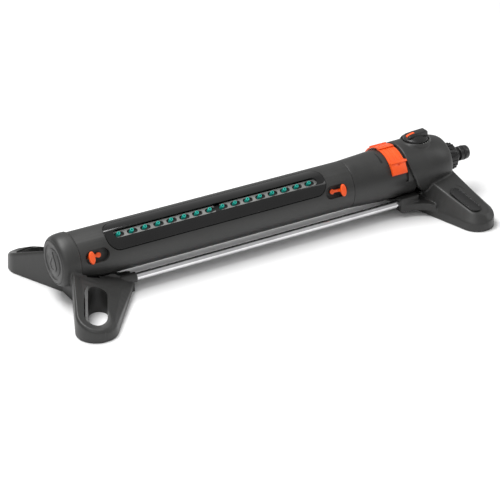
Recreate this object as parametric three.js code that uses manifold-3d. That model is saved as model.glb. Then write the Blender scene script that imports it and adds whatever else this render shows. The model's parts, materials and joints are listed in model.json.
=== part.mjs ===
// An oscillating garden sprinkler: a spray tube that rocks between two splayed feet, driven by a
// water turbine in the housing next to the hose inlet. Millimetres, +Z up. The tube runs along X,
// the hose joins at +X and the front of the sprinkler is -Y. Stations along X are counted from the
// outer face of the left end cap, and heights from the tube's axis, until the last lines set the
// assembly down on the ground with its footprint centred on the origin.

import * as THREE from "three";
import { mergeVertices } from "three/addons/utils/BufferGeometryUtils.js";
import Module from "manifold-3d";

const wasm = await Module();
wasm.setup();

// ---- Driving dimensions ------------------------------------------------------------------------

const GAP = 0.35; // clearance left between neighbouring pieces
const WALL = 2.8; // moulded wall of the feet and housings
const AXIS_HEIGHT = 47.5; // tube axis above the ground

const TUBE_LENGTH = 353;
const TUBE_RADIUS = 28.5;
const TUBE_WALL = 2.4;
const NOZZLE_TILT = THREE.MathUtils.degToRad(33.5); // spray line leans to the front at rest

const NOZZLES = 16;
const NOZZLE_PITCH = 16.4;
const NOZZLE_SHIFT = -1.7; // middle of the nozzle row from the tube's middle
const NOZZLE_TIP_RADIUS = 2;
const NOZZLE_ROOT_RADIUS = 2.3;
const JET_RADIUS = 0.6;
const SLOT_WIDTH = 10.4;

const PANEL_MARGIN = 10; // trim panel beyond the end of the nozzle slot
const PANEL_HALF_WIDTH = 17.2;
const PANEL_CORNER = 14;
const PANEL_THICKNESS = 1.5;
const PANEL_PROUD = 0.3;

const RING_LENGTH = 20; // left foot's ring round the tube's end
const RING_RADIUS = 30;
const CAP_RADIUS = 24.6;
const CAP_THICKNESS = 4;
const JOURNAL_RADIUS = 9;
const BUSH_WALL = 2.6;

const FOOT_SPREAD = 110; // from the tube's axis to the end of a foot's round tip
const LEFT_TIP_RADIUS = 23.5;
const LEFT_TIP_X = 7.5;
const LEFT_FOOT_DEPTH = 87; // station of the left foot's inner shoulder
const SLOT_HOLE_WIDTH = 21;
const SLOT_HOLE_LENGTH = 54;
const SLOT_RIM = 4;

const ROD_RADIUS = 4.5;
const ROD_WALL = 0.8;
const ROD_SPREAD = 24; // each rod's distance from the tube's middle plane
const ROD_DROP = 31.2; // rods below the tube's axis
const ROD_SOCKET = 16;

const GEARBOX_LENGTH = 87;
const GEARBOX_RADIUS = 31;

const HOUSING_LENGTH = 73; // from the mouth's lowest station to the back of the dome
const HOUSING_RADIUS = 35.3;
const RIGHT_TIP_RADIUS = 21.5;
const RIGHT_FOOT_REACH = 59.4; // from the housing's mouth to the right foot's tips
const EAR_LENGTH = 26;
const EAR_RADIUS = 8.5; // round each rod's end at the right foot

const KNOB_RADIUS = 15;
const KNOB_FIN_LENGTH = 30;
const KNOB_FIN_WIDTH = 9;
const KNOB_HEIGHT = 10.2;
const SPINDLE_RADIUS = 6;

const INLET_BORE = 7;
const INLET_RADIUS = 11.5;
const SPIGOT_RADIUS = 13;
const NUT_RADIUS = 16.5;
const NUT_LENGTH = 11.5;
const NUT_RIBS = 18;
const STEM_RADIUS = 8.8;
const STEM_LENGTH = 22.5;

const SLIDER_WIDTH = 21;
const SLIDER_THICKNESS = 1.2;
const SLIDER_HEIGHT = 4.6;
const FRONT_RIDGE = THREE.MathUtils.degToRad(45); // where each slider's ridge rests from the top
const REAR_RIDGE = THREE.MathUtils.degToRad(33);

const GEAR_MODULE = 0.9;
const DRIVE_TEETH = 24;
const PINION_TEETH = 9;
const WHEEL_TEETH = 20;
const GEAR_WIDTH = 3;
const PIN_RADIUS = 1.2;

const GRIP_REACH = 11; // lever pivot to the middle of its grip
const LEVER_REACH = 10; // lever pivot to the finger that moves its comb
const GRIP_SWEEP = TUBE_RADIUS + 5.8; // radius kept free for the grip as the tube swings

// ---- Stations that follow from them ------------------------------------------------------------

const TUBE_START = RING_LENGTH + 0.6;
const TUBE_END = TUBE_START + TUBE_LENGTH;
const TUBE_BORE = TUBE_RADIUS - TUBE_WALL;
const TUBE_MIDDLE = (TUBE_START + TUBE_END) / 2;
const SLOT_HALF = ((NOZZLES - 1) * NOZZLE_PITCH) / 2 + 8;
const SLOT_START = TUBE_MIDDLE - SLOT_HALF;
const SLOT_END = TUBE_MIDDLE + SLOT_HALF;
const PANEL_OUTER = TUBE_RADIUS + PANEL_PROUD;
const PANEL_INNER = PANEL_OUTER - PANEL_THICKNESS;

const GEARBOX_START = TUBE_END + 0.5;
const GEARBOX_END = GEARBOX_START + GEARBOX_LENGTH;
const GEARBOX_BORE = GEARBOX_RADIUS - 5;
const MOUTH = GEARBOX_END - 14;
const RIGHT_FOOT_X = MOUTH + RIGHT_FOOT_REACH;
const PARTITION = GEARBOX_END + GAP;
const HOUSING_END = MOUTH + HOUSING_LENGTH;
const KNOB_X = PARTITION + 15.5;
const SPIGOT_END = HOUSING_END + 5.5;
const NUT_START = HOUSING_END + 0.8;
const NUT_END = NUT_START + NUT_LENGTH;
const GROUND = -AXIS_HEIGHT;
const SLIDER_X = MOUTH - 1 - SLIDER_WIDTH;
const TRACK_RADIUS = GEARBOX_RADIUS + GAP;
const SHAFT_DISTANCE = (GEAR_MODULE * (DRIVE_TEETH + PINION_TEETH)) / 2 + 0.1;
const STAGE_DISTANCE = (GEAR_MODULE * (WHEEL_TEETH + PINION_TEETH)) / 2 + 0.1;

// ---- Materials ---------------------------------------------------------------------------------

const finish = (color, roughness, metalness = 0) =>
  new THREE.MeshStandardMaterial({ color, roughness, metalness });

const charcoal = finish(0x3c3c3a, 0.55);
const gloss = finish(0x141414, 0.12);
const black = finish(0x1a1a1a, 0.5);
const orange = finish(0xff5a14, 0.4);
const teal = finish(0x00a08c, 0.6);
const grey = finish(0x9a9c98, 0.5);
const natural = finish(0xd8d4c8, 0.5);
const seal = finish(0x101010, 0.85);
const steel = finish(0xb8b8b8, 0.25, 1);

// ---- Shapes ------------------------------------------------------------------------------------

// A closed three.js geometry as a solid whose faces point outwards.
function solid(geometry) {
  const bare = geometry.clone();
  bare.deleteAttribute("normal");
  bare.deleteAttribute("uv");
  const merged = mergeVertices(bare, 1e-4);
  const triVerts = new Uint32Array(merged.index.array);
  const vertProperties = new Float32Array(merged.attributes.position.array);
  const made = new wasm.Manifold(new wasm.Mesh({ numProp: 3, vertProperties, triVerts }));
  if (made.volume() > 0) return made;
  triVerts.reverse();
  return new wasm.Manifold(new wasm.Mesh({ numProp: 3, vertProperties, triVerts }));
}

function geometryOf(body) {
  const { vertProperties, triVerts } = body.getMesh();
  const geometry = new THREE.BufferGeometry();
  geometry.setAttribute("position", new THREE.BufferAttribute(new Float32Array(vertProperties), 3));
  geometry.setIndex(new THREE.BufferAttribute(new Uint32Array(triVerts), 1));
  const faceted = geometry.toNonIndexed();
  faceted.computeVertexNormals();
  return faceted;
}

const unite = (...bodies) => bodies.reduce((whole, body) => whole.add(body));
const cut = (body, ...tools) => tools.reduce((rest, tool) => rest.subtract(tool), body);

// How many flat sides stand for a full round of a given radius.
function sides(radius) {
  if (radius > 24) return 28;
  if (radius > 9) return 16;
  return radius > 4 ? 12 : 8;
}

// A profile of [station, radius] pairs turned round the X axis.
function turned(profile) {
  const points = profile.map(([x, r]) => new THREE.Vector2(r, x));
  const widest = Math.max(...profile.map(([, r]) => r));
  return solid(new THREE.LatheGeometry(points, sides(widest)).rotateZ(-Math.PI / 2));
}

const disc = (x0, x1, radius) => turned([[x0, 0], [x0, radius], [x1, radius], [x1, 0]]);

const ring = (x0, x1, inner, outer) =>
  turned([[x0, inner], [x0, outer], [x1, outer], [x1, inner], [x0, inner]]);

// A cylinder about an upright axis through (x, y).
const post = (x, y, z0, z1, radius) =>
  solid(
    new THREE.CylinderGeometry(radius, radius, z1 - z0, sides(radius))
      .rotateX(Math.PI / 2)
      .translate(x, y, (z0 + z1) / 2),
  );

function box(x0, x1, y0, y1, z0, z1) {
  const geometry = new THREE.BoxGeometry(x1 - x0, y1 - y0, z1 - z0);
  return solid(geometry.translate((x0 + x1) / 2, (y0 + y1) / 2, (z0 + z1) / 2));
}

// An outline in the XY plane raised from z0 to z1.
function raised(shape, z0, z1, curveSegments = 3) {
  const options = { depth: z1 - z0, bevelEnabled: false, curveSegments };
  return solid(new THREE.ExtrudeGeometry(shape, options).translate(0, 0, z0));
}

// An outline drawn in (Y, Z) drawn out from x0 to x1.
function drawnOut(shape, x0, x1, curveSegments = 6) {
  const options = { depth: x1 - x0, bevelEnabled: false, curveSegments };
  const toX = new THREE.Matrix4().makeBasis(
    new THREE.Vector3(0, 1, 0),
    new THREE.Vector3(0, 0, 1),
    new THREE.Vector3(1, 0, 0),
  );
  return solid(new THREE.ExtrudeGeometry(shape, options).applyMatrix4(toX).translate(x0, 0, 0));
}

// An outline drawn in (X, Z) drawn out to both sides of the middle plane.
function drawnAcross(shape, halfWidth) {
  const options = { depth: 2 * halfWidth, bevelEnabled: false, curveSegments: 5 };
  const geometry = new THREE.ExtrudeGeometry(shape, options).rotateX(Math.PI / 2);
  return solid(geometry.translate(0, halfWidth, 0));
}

function polygon(points) {
  return new THREE.Shape(points.map(([u, v]) => new THREE.Vector2(u, v)));
}

// A rectangle with rounded corners, centred on (0, 0).
function rounded(length, width, corner) {
  const a = length / 2;
  const b = width / 2;
  const r = Math.min(corner, a, b);
  const shape = new THREE.Shape();
  shape.absarc(a - r, b - r, r, 0, Math.PI / 2);
  shape.absarc(r - a, b - r, r, Math.PI / 2, Math.PI);
  shape.absarc(r - a, r - b, r, Math.PI, 1.5 * Math.PI);
  shape.absarc(a - r, r - b, r, 1.5 * Math.PI, 2 * Math.PI);
  return shape;
}

const moved = (body, x, y, z) => body.translate([x, y, z]);
const turnedAboutX = (body, angle) => body.rotate([THREE.MathUtils.radToDeg(angle), 0, 0]);
const mirroredY = (body) => body.mirror([0, 1, 0]);

// A sector of a ring round the X axis; angles are counted from the top towards the front.
function sector(x0, x1, inner, outer, from, to) {
  const up = Math.PI / 2;
  const shape = new THREE.Shape();
  shape.absarc(0, 0, outer, up + from, up + to);
  shape.absarc(0, 0, inner, up + to, up + from, true);
  return drawnOut(shape, x0, x1, Math.max(2, Math.round((8 * (to - from)) / 1.2)));
}

// A straight-sided spur gear round the X axis with one tooth at the given angle from +Y to +Z.
function gear(teeth, x0, x1, bore, toothAt) {
  const pitchRadius = (GEAR_MODULE * teeth) / 2;
  const tip = pitchRadius + 0.85 * GEAR_MODULE;
  const root = pitchRadius - 1.2 * GEAR_MODULE;
  const step = (2 * Math.PI) / teeth;
  const corners = [[-0.28, root], [-0.12, tip], [0.12, tip], [0.28, root]];
  const shape = new THREE.Shape();
  for (let tooth = 0; tooth < teeth; tooth++) {
    for (const [share, radius] of corners) {
      const angle = toothAt + (tooth + share) * step;
      const place = [radius * Math.cos(angle), radius * Math.sin(angle)];
      if (tooth === 0 && share === corners[0][0]) shape.moveTo(...place);
      else shape.lineTo(...place);
    }
  }
  const blank = drawnOut(shape, x0, x1);
  return bore > 0 ? cut(blank, disc(x0 - 1, x1 + 1, bore, 20)) : blank;
}

// ---- Foot legs ---------------------------------------------------------------------------------

const STRAIGHT_STEPS = 3; // sections along a leg's straight part
const TIP_STEPS = 6; // sections round its tip
const TIP_OPENING = 0.05; // angle left between the two sides' last points at a tip

// One edge line of a front leg. It runs straight from its root to the round tip and then round to
// the tip's far point, on the -X side (side -1) or the +X side (side 1). The height goes evenly
// from the root's to the tip's, bulging by the crown half-way.
function legRail({ side, root, tip, radius, heights, crown = 0 }) {
  const away = Math.atan2(root[1] - tip[1], root[0] - tip[0]);
  const reach = Math.hypot(root[0] - tip[0], root[1] - tip[1]);
  const start = away - side * Math.acos(radius / reach);
  const end = (side > 0 ? -0.5 : 1.5) * Math.PI + side * TIP_OPENING;
  const path = new THREE.Path();
  path.moveTo(root[0], root[1]);
  path.lineTo(tip[0] + radius * Math.cos(start), tip[1] + radius * Math.sin(start));
  path.absarc(tip[0], tip[1], radius, start, end, side > 0);
  const [straight, round] = path.curves;
  const outline = [...straight.getPoints(STRAIGHT_STEPS).slice(0, -1), ...round.getPoints(TIP_STEPS)];
  return outline.map(({ x, y }) => {
    const run = (y - root[1]) / (tip[1] - radius - root[1]);
    return [x, y, heights[0] + (heights[1] - heights[0]) * run + crown * 4 * run * (1 - run)];
  });
}

// The body that fills a row of sections, each of which joins one point of every rail. The end
// faces are fanned from the third rail, the outer edge of a leg's top.
function loft(rails) {
  const count = rails.length;
  const sections = rails[0].length;
  const positions = [];
  for (let section = 0; section < sections; section++)
    for (const rail of rails) positions.push(...rail[section]);
  const faces = [];
  for (let section = 0; section < sections - 1; section++)
    for (let corner = 0; corner < count; corner++) {
      const next = (corner + 1) % count;
      const a = section * count;
      const b = a + count;
      faces.push(a + corner, a + next, b + next, a + corner, b + next, b + corner);
    }
  const last = (sections - 1) * count;
  for (let turn = 1; turn < count - 1; turn++) {
    const one = (2 + turn) % count;
    const two = (3 + turn) % count;
    faces.push(2, two, one);
    faces.push(last + 2, last + one, last + two);
  }
  const geometry = new THREE.BufferGeometry();
  geometry.setAttribute("position", new THREE.Float32BufferAttribute(positions, 3));
  geometry.setIndex(faces);
  return solid(geometry);
}

// A front leg from its edge lines. The inset draws every line in by a wall and sinks the top, which
// gives the space under the leg.
function leg(tipX, tipRadius, lines, inset = 0) {
  const rails = lines.map(({ side, root, shrink, heights, crown }) =>
    legRail({
      side,
      root: [root[0] - side * inset, root[1] - inset],
      tip: [tipX, tipRadius - FOOT_SPREAD],
      radius: tipRadius - shrink - inset,
      heights: heights ? heights.map((z) => z - inset) : [GROUND, GROUND].map((z) => z - inset),
      crown,
    }),
  );
  return loft(rails);
}

// The space under a leg, which leaves out the lines just inside its skirt.
const legSpace = (tipX, tipRadius, lines) =>
  leg(tipX, tipRadius, lines.filter((_, line) => line !== 1 && line !== lines.length - 2), WALL);

// Puts a body that was made flat round (0, 0, 0) on a leg's top: pitched down towards the tip and
// yawed into the leg's direction.
function onLeg(body, { at, pitch, yaw }) {
  return body.rotate([pitch, 0, 0]).rotate([0, 0, yaw]).translate(at);
}

// ---- Left foot ---------------------------------------------------------------------------------

const leftEdge = LEFT_TIP_X + 7;
const leftLines = [
  { side: -1, root: [leftEdge, -12], shrink: 0 },
  { side: -1, root: [leftEdge + 0.5, -12], shrink: 0.8, heights: [1, -36] },
  { side: -1, root: [leftEdge + 2, -12], shrink: 3, heights: [6, -33] },
  { side: -1, root: [leftEdge + 8, -12], shrink: 13, heights: [0, -31] },
  { side: 1, root: [LEFT_FOOT_DEPTH - 41, -20], shrink: 9, heights: [-19, -31.5], crown: 5 },
  { side: 1, root: [LEFT_FOOT_DEPTH - 15, -26], shrink: 4, heights: [-28, -33], crown: 3 },
  { side: 1, root: [LEFT_FOOT_DEPTH - 2, -26], shrink: 0.8, heights: [-34, -36.5] },
  { side: 1, root: [LEFT_FOOT_DEPTH - 5, -26], shrink: 0 },
];
const leftSlot = { at: [LEFT_TIP_X + 9, 38 - FOOT_SPREAD, 25 + GROUND], pitch: 21, yaw: -27 };

function leftFoot() {
  const end = LEFT_FOOT_DEPTH - 3;
  const middle = new THREE.Shape();
  middle.moveTo(leftEdge, -15);
  middle.lineTo(end, -28);
  middle.lineTo(end, -15);
  middle.quadraticCurveTo(end - 30, 0, end, 15);
  middle.lineTo(end, 28);
  middle.lineTo(leftEdge, 15);
  const under = polygon([
    [leftEdge + WALL, -12],
    [LEFT_FOOT_DEPTH - 30, -20],
    [LEFT_FOOT_DEPTH - 30, 20],
    [leftEdge + WALL, 12],
  ]);
  const collar = turned(
    [[0, 0], [0, CAP_RADIUS + 1], [1.2, 26.9], [4.5, 28.8], [12, RING_RADIUS],
      [RING_LENGTH, RING_RADIUS], [RING_LENGTH, 0]],
  );
  const frontLeg = leg(LEFT_TIP_X, LEFT_TIP_RADIUS, leftLines);
  const space = legSpace(LEFT_TIP_X, LEFT_TIP_RADIUS, leftLines);
  const round = levers[0].pivot - GRIP_REACH;
  const hole = rounded(SLOT_HOLE_WIDTH, SLOT_HOLE_LENGTH, SLOT_HOLE_WIDTH);
  const rim = rounded(SLOT_HOLE_WIDTH + 2 * SLOT_RIM, SLOT_HOLE_LENGTH + 2 * SLOT_RIM, 40);
  const slotWall = rounded(SLOT_HOLE_WIDTH + 2 * WALL, SLOT_HOLE_LENGTH + 2 * WALL, 40);
  const upright = { ...leftSlot, pitch: 0 };
  const tube = onLeg(raised(slotWall, -30, 20), upright);
  const opening = onLeg(raised(hole, -40, 30), upright);
  const dish = onLeg(raised(rim, 0, 20), leftSlot);
  const boss = disc(LEFT_FOOT_DEPTH - ROD_SOCKET - 3, LEFT_FOOT_DEPTH, 5.8);
  const bore = disc(LEFT_FOOT_DEPTH - ROD_SOCKET, LEFT_FOOT_DEPTH + 1, ROD_RADIUS + GAP);
  const bothSides = (body) => unite(body, mirroredY(body));
  const outside = unite(collar, bothSides(frontLeg), raised(middle, GROUND, -27));
  const sweep = disc(-9, round + 12.4, GRIP_SWEEP + WALL);
  const hollow = unite(bothSides(cut(space, tube, sweep)), raised(under, GROUND - 1, GROUND + 13.5));
  const inRing = turned(
    [[-1, 0], [-1, CAP_RADIUS + GAP], [CAP_THICKNESS, CAP_RADIUS + GAP],
      [CAP_THICKNESS, JOURNAL_RADIUS + BUSH_WALL + GAP],
      [RING_LENGTH + 1, JOURNAL_RADIUS + BUSH_WALL + GAP], [RING_LENGTH + 1, 0]],
  );
  return cut(
    unite(cut(outside, hollow), bothSides(moved(boss, 0, -ROD_SPREAD, -ROD_DROP))),
    inRing,
    disc(RING_LENGTH + GAP, LEFT_FOOT_DEPTH + 10, RING_RADIUS + 0.3),
    disc(round - 8, round + 9, GRIP_SWEEP),
    bothSides(moved(bore, 0, -ROD_SPREAD, -ROD_DROP)),
    bothSides(opening),
    bothSides(dish),
    ...rodScrewPlaces.slice(0, 2).map(rodScrewHole),
    box(-30, 120, -130, 130, GROUND - 20, GROUND),
  );
}

// A raised drop of water marks the left cap.
function leftCap() {
  const drop = new THREE.Shape();
  drop.moveTo(0, 13);
  drop.bezierCurveTo(3, 6, 8.5, 2, 8.5, -3.5);
  drop.absarc(0, -3.5, 8.5, 0, -Math.PI, true);
  drop.bezierCurveTo(-8.5, 2, -3, 6, 0, 13);
  const plate = turned([
    [-0.8, 0], [-0.8, 15.5], [0.2, 16.3], [0.2, 19.5], [-0.8, 20.3], [-0.6, 23.2],
    [0.4, CAP_RADIUS], [CAP_THICKNESS - GAP, CAP_RADIUS], [CAP_THICKNESS - GAP, 0],
  ]);
  return unite(plate, drawnOut(drop, -1.5, 0, 6));
}

// ---- Rods --------------------------------------------------------------------------------------

const ROD_START = LEFT_FOOT_DEPTH - ROD_SOCKET + GAP;
const EAR_X = MOUTH - 9.5;
const EAR_BASE = -ROD_DROP - EAR_RADIUS - 0.2;
const ROD_END = EAR_X + ROD_SOCKET;
const rodScrewPlaces = [
  [LEFT_FOOT_DEPTH - 8, -ROD_SPREAD, GROUND],
  [LEFT_FOOT_DEPTH - 8, ROD_SPREAD, GROUND],
  [EAR_X + 8, -ROD_SPREAD, EAR_BASE],
  [EAR_X + 8, ROD_SPREAD, EAR_BASE],
];
const SCREW_TOP = -ROD_DROP - ROD_RADIUS - GAP;

const rod = () => ring(ROD_START, ROD_END, ROD_RADIUS - ROD_WALL, ROD_RADIUS);

const rodScrewHole = ([x, y, base]) =>
  unite(post(x, y, base - 1, SCREW_TOP + 1, 1.9), post(x, y, base - 1, base + 2.6, 3.6));

function rodScrew([x, y, base]) {
  const head = post(x, y, base + 0.5, base + 2.2, 3.2);
  const cross = unite(
    box(x - 2, x + 2, y - 0.4, y + 0.4, base, base + 1.3),
    box(x - 0.4, x + 0.4, y - 2, y + 2, base, base + 1.3),
  );
  return cut(unite(head, post(x, y, base + 2, SCREW_TOP, 1.5)), cross);
}

// ---- Right foot and valve housing --------------------------------------------------------------

const rightInner = RIGHT_FOOT_X - 40;
const rightOuter = RIGHT_FOOT_X + 12;
const rightLines = [
  { side: 1, root: [rightOuter, -12], shrink: 0 },
  { side: 1, root: [rightOuter - 0.5, -12], shrink: 0.8, heights: [-8, -35.5] },
  { side: 1, root: [rightOuter - 4, -12], shrink: 8, heights: [-1, -28.5] },
  { side: 1, root: [RIGHT_FOOT_X - 13, -12], shrink: 15, heights: [-1, -27.5] },
  { side: -1, root: [rightInner + 12, -18], shrink: 9, heights: [-6, -27.5], crown: -1 },
  { side: -1, root: [rightInner - 0.5, -20], shrink: 0.8, heights: [-36.5, -37.5] },
  { side: -1, root: [rightInner - 1, -20], shrink: 0 },
];
const badgePlace = {
  at: [RIGHT_FOOT_X - 6.5, 36 - FOOT_SPREAD, 28 + GROUND],
  pitch: 15.7,
  yaw: 12,
};
const BADGE_WIDTH = 16;
const BADGE_LENGTH = 46;

const domeProfile = [
  [MOUTH - 12, 0],
  [MOUTH - 12, HOUSING_RADIUS - 0.3],
  [MOUTH + 28, HOUSING_RADIUS + 0.2],
  [HOUSING_END - 24, HOUSING_RADIUS - 1.4],
  [HOUSING_END - 13, HOUSING_RADIUS - 4],
  [HOUSING_END - 8, HOUSING_RADIUS - 6.2],
  [HOUSING_END - 5.2, HOUSING_RADIUS - 9],
  [HOUSING_END - 1.6, HOUSING_RADIUS - 15],
  [HOUSING_END, 0],
];

function rightFoot() {
  const middle = polygon([
    [rightInner + 14, -14],
    [rightOuter, -14],
    [rightOuter, 14],
    [rightInner + 14, 14],
  ]);
  const ear = unite(
    moved(disc(EAR_X, EAR_X + EAR_LENGTH, EAR_RADIUS), 0, -ROD_SPREAD, -ROD_DROP),
    box(EAR_X, EAR_X + EAR_LENGTH, -ROD_SPREAD - EAR_RADIUS, -14, -ROD_DROP, -22),
  );
  // Carries each rod's socket over to the leg in one curve, clear of the ground.
  const web = new THREE.Shape();
  web.moveTo(EAR_X, -14);
  web.lineTo(EAR_X, -ROD_SPREAD - EAR_RADIUS);
  web.quadraticCurveTo(rightInner - 4.5, -34, rightInner + 7.5, -52);
  web.lineTo(rightInner + 9.5, -14);
  const shoulder = raised(web, EAR_BASE + 0.2, -30);
  const mouthCut = new THREE.Shape();
  mouthCut.moveTo(MOUTH - 40, 50);
  mouthCut.lineTo(MOUTH + 1, 50);
  mouthCut.lineTo(MOUTH + 1, HOUSING_RADIUS - 12);
  mouthCut.quadraticCurveTo(MOUTH + 4, 8, MOUTH + 9, 0);
  mouthCut.quadraticCurveTo(MOUTH + 13, -14, MOUTH + 26, -22);
  mouthCut.lineTo(MOUTH + 26, -25);
  mouthCut.lineTo(MOUTH - 40, -25);
  const frontLeg = leg(RIGHT_FOOT_X, RIGHT_TIP_RADIUS, rightLines);
  const space = legSpace(RIGHT_FOOT_X, RIGHT_TIP_RADIUS, rightLines);
  const bothSides = (body) => unite(body, mirroredY(body));
  const bore = disc(EAR_X - 4, ROD_END + GAP, ROD_RADIUS + GAP);
  const recess = rounded(BADGE_WIDTH + 10, BADGE_LENGTH + 12, 40);
  const pocket = rounded(BADGE_WIDTH + 2 * GAP, BADGE_LENGTH + 2 * GAP, 40);
  const seat = post(KNOB_X, 0, 20, HOUSING_RADIUS + 0.6, KNOB_RADIUS + 3.2);
  const outside = unite(
    cut(turned(domeProfile), drawnAcross(mouthCut, 60)),
    bothSides(frontLeg),
    bothSides(unite(ear, shoulder)),
    raised(middle, GROUND, -20),
    seat,
    disc(HOUSING_END - 6, SPIGOT_END, SPIGOT_RADIUS),
  );
  const inner = HOUSING_RADIUS - WALL;
  const chamber = turned(
    [[PARTITION + WALL, 0], [PARTITION + WALL, inner], [HOUSING_END - 24, inner - 1.4],
      [HOUSING_END - 9, inner - 6.2], [HOUSING_END - WALL - 1, inner - 15],
      [HOUSING_END - WALL - 1, 0]],
  );
  const rear = cut(chamber, post(KNOB_X, 0, 0, 60, SPINDLE_RADIUS + 5));
  const hollow = unite(
    bothSides(space),
    rear,
    box(PARTITION + WALL, rightOuter - 16, -11, 11, GROUND - 1, 0),
  );
  const lugs = unite(...housingScrewAngles.map((a) => housingLug(a, PARTITION, PARTITION + WALL, 5)));
  return cut(
    unite(cut(outside, hollow), lugs),
    disc(MOUTH - 30, PARTITION, HOUSING_RADIUS - WALL),
    bothSides(moved(bore, 0, -ROD_SPREAD, -ROD_DROP)),
    disc(PARTITION - 1, SPIGOT_END + 1, INLET_RADIUS + GAP),
    post(KNOB_X, 0, HOUSING_RADIUS - 1.4, 60, KNOB_RADIUS + 1.6),
    post(KNOB_X, 0, 0, 60, SPINDLE_RADIUS + 2),
    bothSides(onLeg(raised(recess, 0, 12), badgePlace)),
    bothSides(onLeg(raised(pocket, -1.2, 2), badgePlace)),
    ...rodScrewPlaces.slice(2).map(rodScrewHole),
    ...housingScrewAngles.map((a) => housingLug(a, PARTITION - 1, PARTITION + WALL + 1, 1.7)),
    box(MOUTH - 60, SPIGOT_END + 60, -150, 150, GROUND - 20, GROUND),
  );
}

const badge = () => onLeg(raised(rounded(BADGE_WIDTH, BADGE_LENGTH, 40), -0.85, 0.7), badgePlace);

// ---- Gearbox -----------------------------------------------------------------------------------

const housingScrewAngles = [30, 150, 270].map(THREE.MathUtils.degToRad);
const LUG_REACH = GEARBOX_BORE - 3.6;

function housingLug(angle, x0, x1, radius) {
  const y = LUG_REACH * Math.cos(angle);
  const z = LUG_REACH * Math.sin(angle);
  return moved(disc(x0, x1, radius), 0, y, z);
}

function gearboxShell() {
  const body = turned(
    [
      [GEARBOX_START, GEARBOX_BORE],
      [GEARBOX_START, TUBE_RADIUS],
      [GEARBOX_START + 17, TUBE_RADIUS + 1],
      [GEARBOX_START + 31, TUBE_RADIUS + 1.7],
      [GEARBOX_START + 47, GEARBOX_RADIUS],
      [GEARBOX_END, GEARBOX_RADIUS],
      [GEARBOX_END, GEARBOX_BORE],
      [GEARBOX_START, GEARBOX_BORE],
    ],
  );
  const track = sector(MOUTH - 2.4, MOUTH + 0.9, GEARBOX_RADIUS - 2.6, 40, -1.6, 1.6);
  const lugs = housingScrewAngles.map((a) => housingLug(a, GEARBOX_END - 9, GEARBOX_END, 3.9));
  const holes = housingScrewAngles.map((a) => housingLug(a, GEARBOX_END - 8, GEARBOX_END + 1, 1.35));
  return cut(unite(body, ...lugs), track, ...holes);
}

function housingScrew(angle) {
  const head = housingLug(angle, PARTITION + WALL + GAP, PARTITION + WALL + 2.4, 3.1);
  return unite(head, housingLug(angle, GEARBOX_END - 7, PARTITION + WALL + 1, 1));
}

// Shafts of the reduction gears stand at one distance round the tube's shaft.
const stageStep = 2 * Math.asin(STAGE_DISTANCE / (2 * SHAFT_DISTANCE));
const shaftAngles = [0, 1, 2].map((stage) => -0.55 * Math.PI + stage * stageStep);
const shaftPlaces = shaftAngles.map((angle) => [
  SHAFT_DISTANCE * Math.cos(angle),
  SHAFT_DISTANCE * Math.sin(angle),
]);
const atShaft = (body, stage) => moved(body, 0, ...shaftPlaces[stage]);
const stagePlanes = [0, 1, 2].map((stage) => GEARBOX_START + 9 + stage * (GEAR_WIDTH + 3));
const PLATE = 1.6;
const FRONT_PLATE = stagePlanes[0] - PLATE - 1.2;
const REAR_PLATE = stagePlanes[2] + GEAR_WIDTH + 1.6;

function gearPlate(x, centreHole, windows) {
  const shaftHoles = [0, 1, 2].map((stage) => atShaft(disc(x - 1, x + 3, PIN_RADIUS + GAP), stage));
  const plate = cut(disc(x, x + PLATE, GEARBOX_BORE - GAP), ...shaftHoles);
  const middle = disc(x - 1, x + 3, centreHole);
  const open = windows.map((angle) => sector(x - 1, x + 3, 13, 22, angle - 0.35, angle + 0.35));
  return cut(plate, middle, ...open);
}

function gearPin(stage) {
  return atShaft(disc(FRONT_PLATE - 1.5, REAR_PLATE + PLATE + 1.5, PIN_RADIUS), stage);
}

const towards = (from, to) => Math.atan2(to[1] - from[1], to[0] - from[0]);
const halfTooth = (teeth) => Math.PI / teeth;

// A wheel and the pinion on its face, which turn together on a pin. The pinion's tooth gap and
// the wheel's tooth face their partners.
function compoundGear(stage) {
  const driven = stage === 0 ? [0, 0] : shaftPlaces[stage - 1];
  const back = towards(shaftPlaces[stage], driven);
  const ahead = towards(shaftPlaces[stage], shaftPlaces[stage + 1]);
  const bore = PIN_RADIUS + GAP;
  const pinionStart = stagePlanes[stage] - 0.2;
  const wheelStart = stagePlanes[stage + 1];
  const pinion = gear(PINION_TEETH, pinionStart, wheelStart, bore, back + halfTooth(PINION_TEETH));
  const wheel = gear(WHEEL_TEETH, wheelStart, wheelStart + GEAR_WIDTH - 0.4, bore, ahead);
  return atShaft(unite(pinion, wheel), stage);
}

function turbine() {
  const back = towards(shaftPlaces[2], shaftPlaces[1]);
  const hubStart = REAR_PLATE + PLATE + 0.6;
  const blades = [];
  for (let blade = 0; blade < 8; blade++) {
    const paddle = box(hubStart, hubStart + 8, 2.5, 8.6, -0.6, 0.6);
    blades.push(turnedAboutX(paddle, (blade * Math.PI) / 4));
  }
  const shaft = disc(FRONT_PLATE - 1, hubStart + 10, PIN_RADIUS);
  const pinion = gear(
    PINION_TEETH, stagePlanes[2] - 0.2, REAR_PLATE - 0.6, 0, back + halfTooth(PINION_TEETH));
  return atShaft(unite(shaft, pinion, disc(hubStart, hubStart + 8, 3.4), ...blades), 2);
}

// The jet plate aims two jets at the turbine from either side; the reversing lever shuts one.
const JET_PLATE = REAR_PLATE + PLATE + 14;

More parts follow.
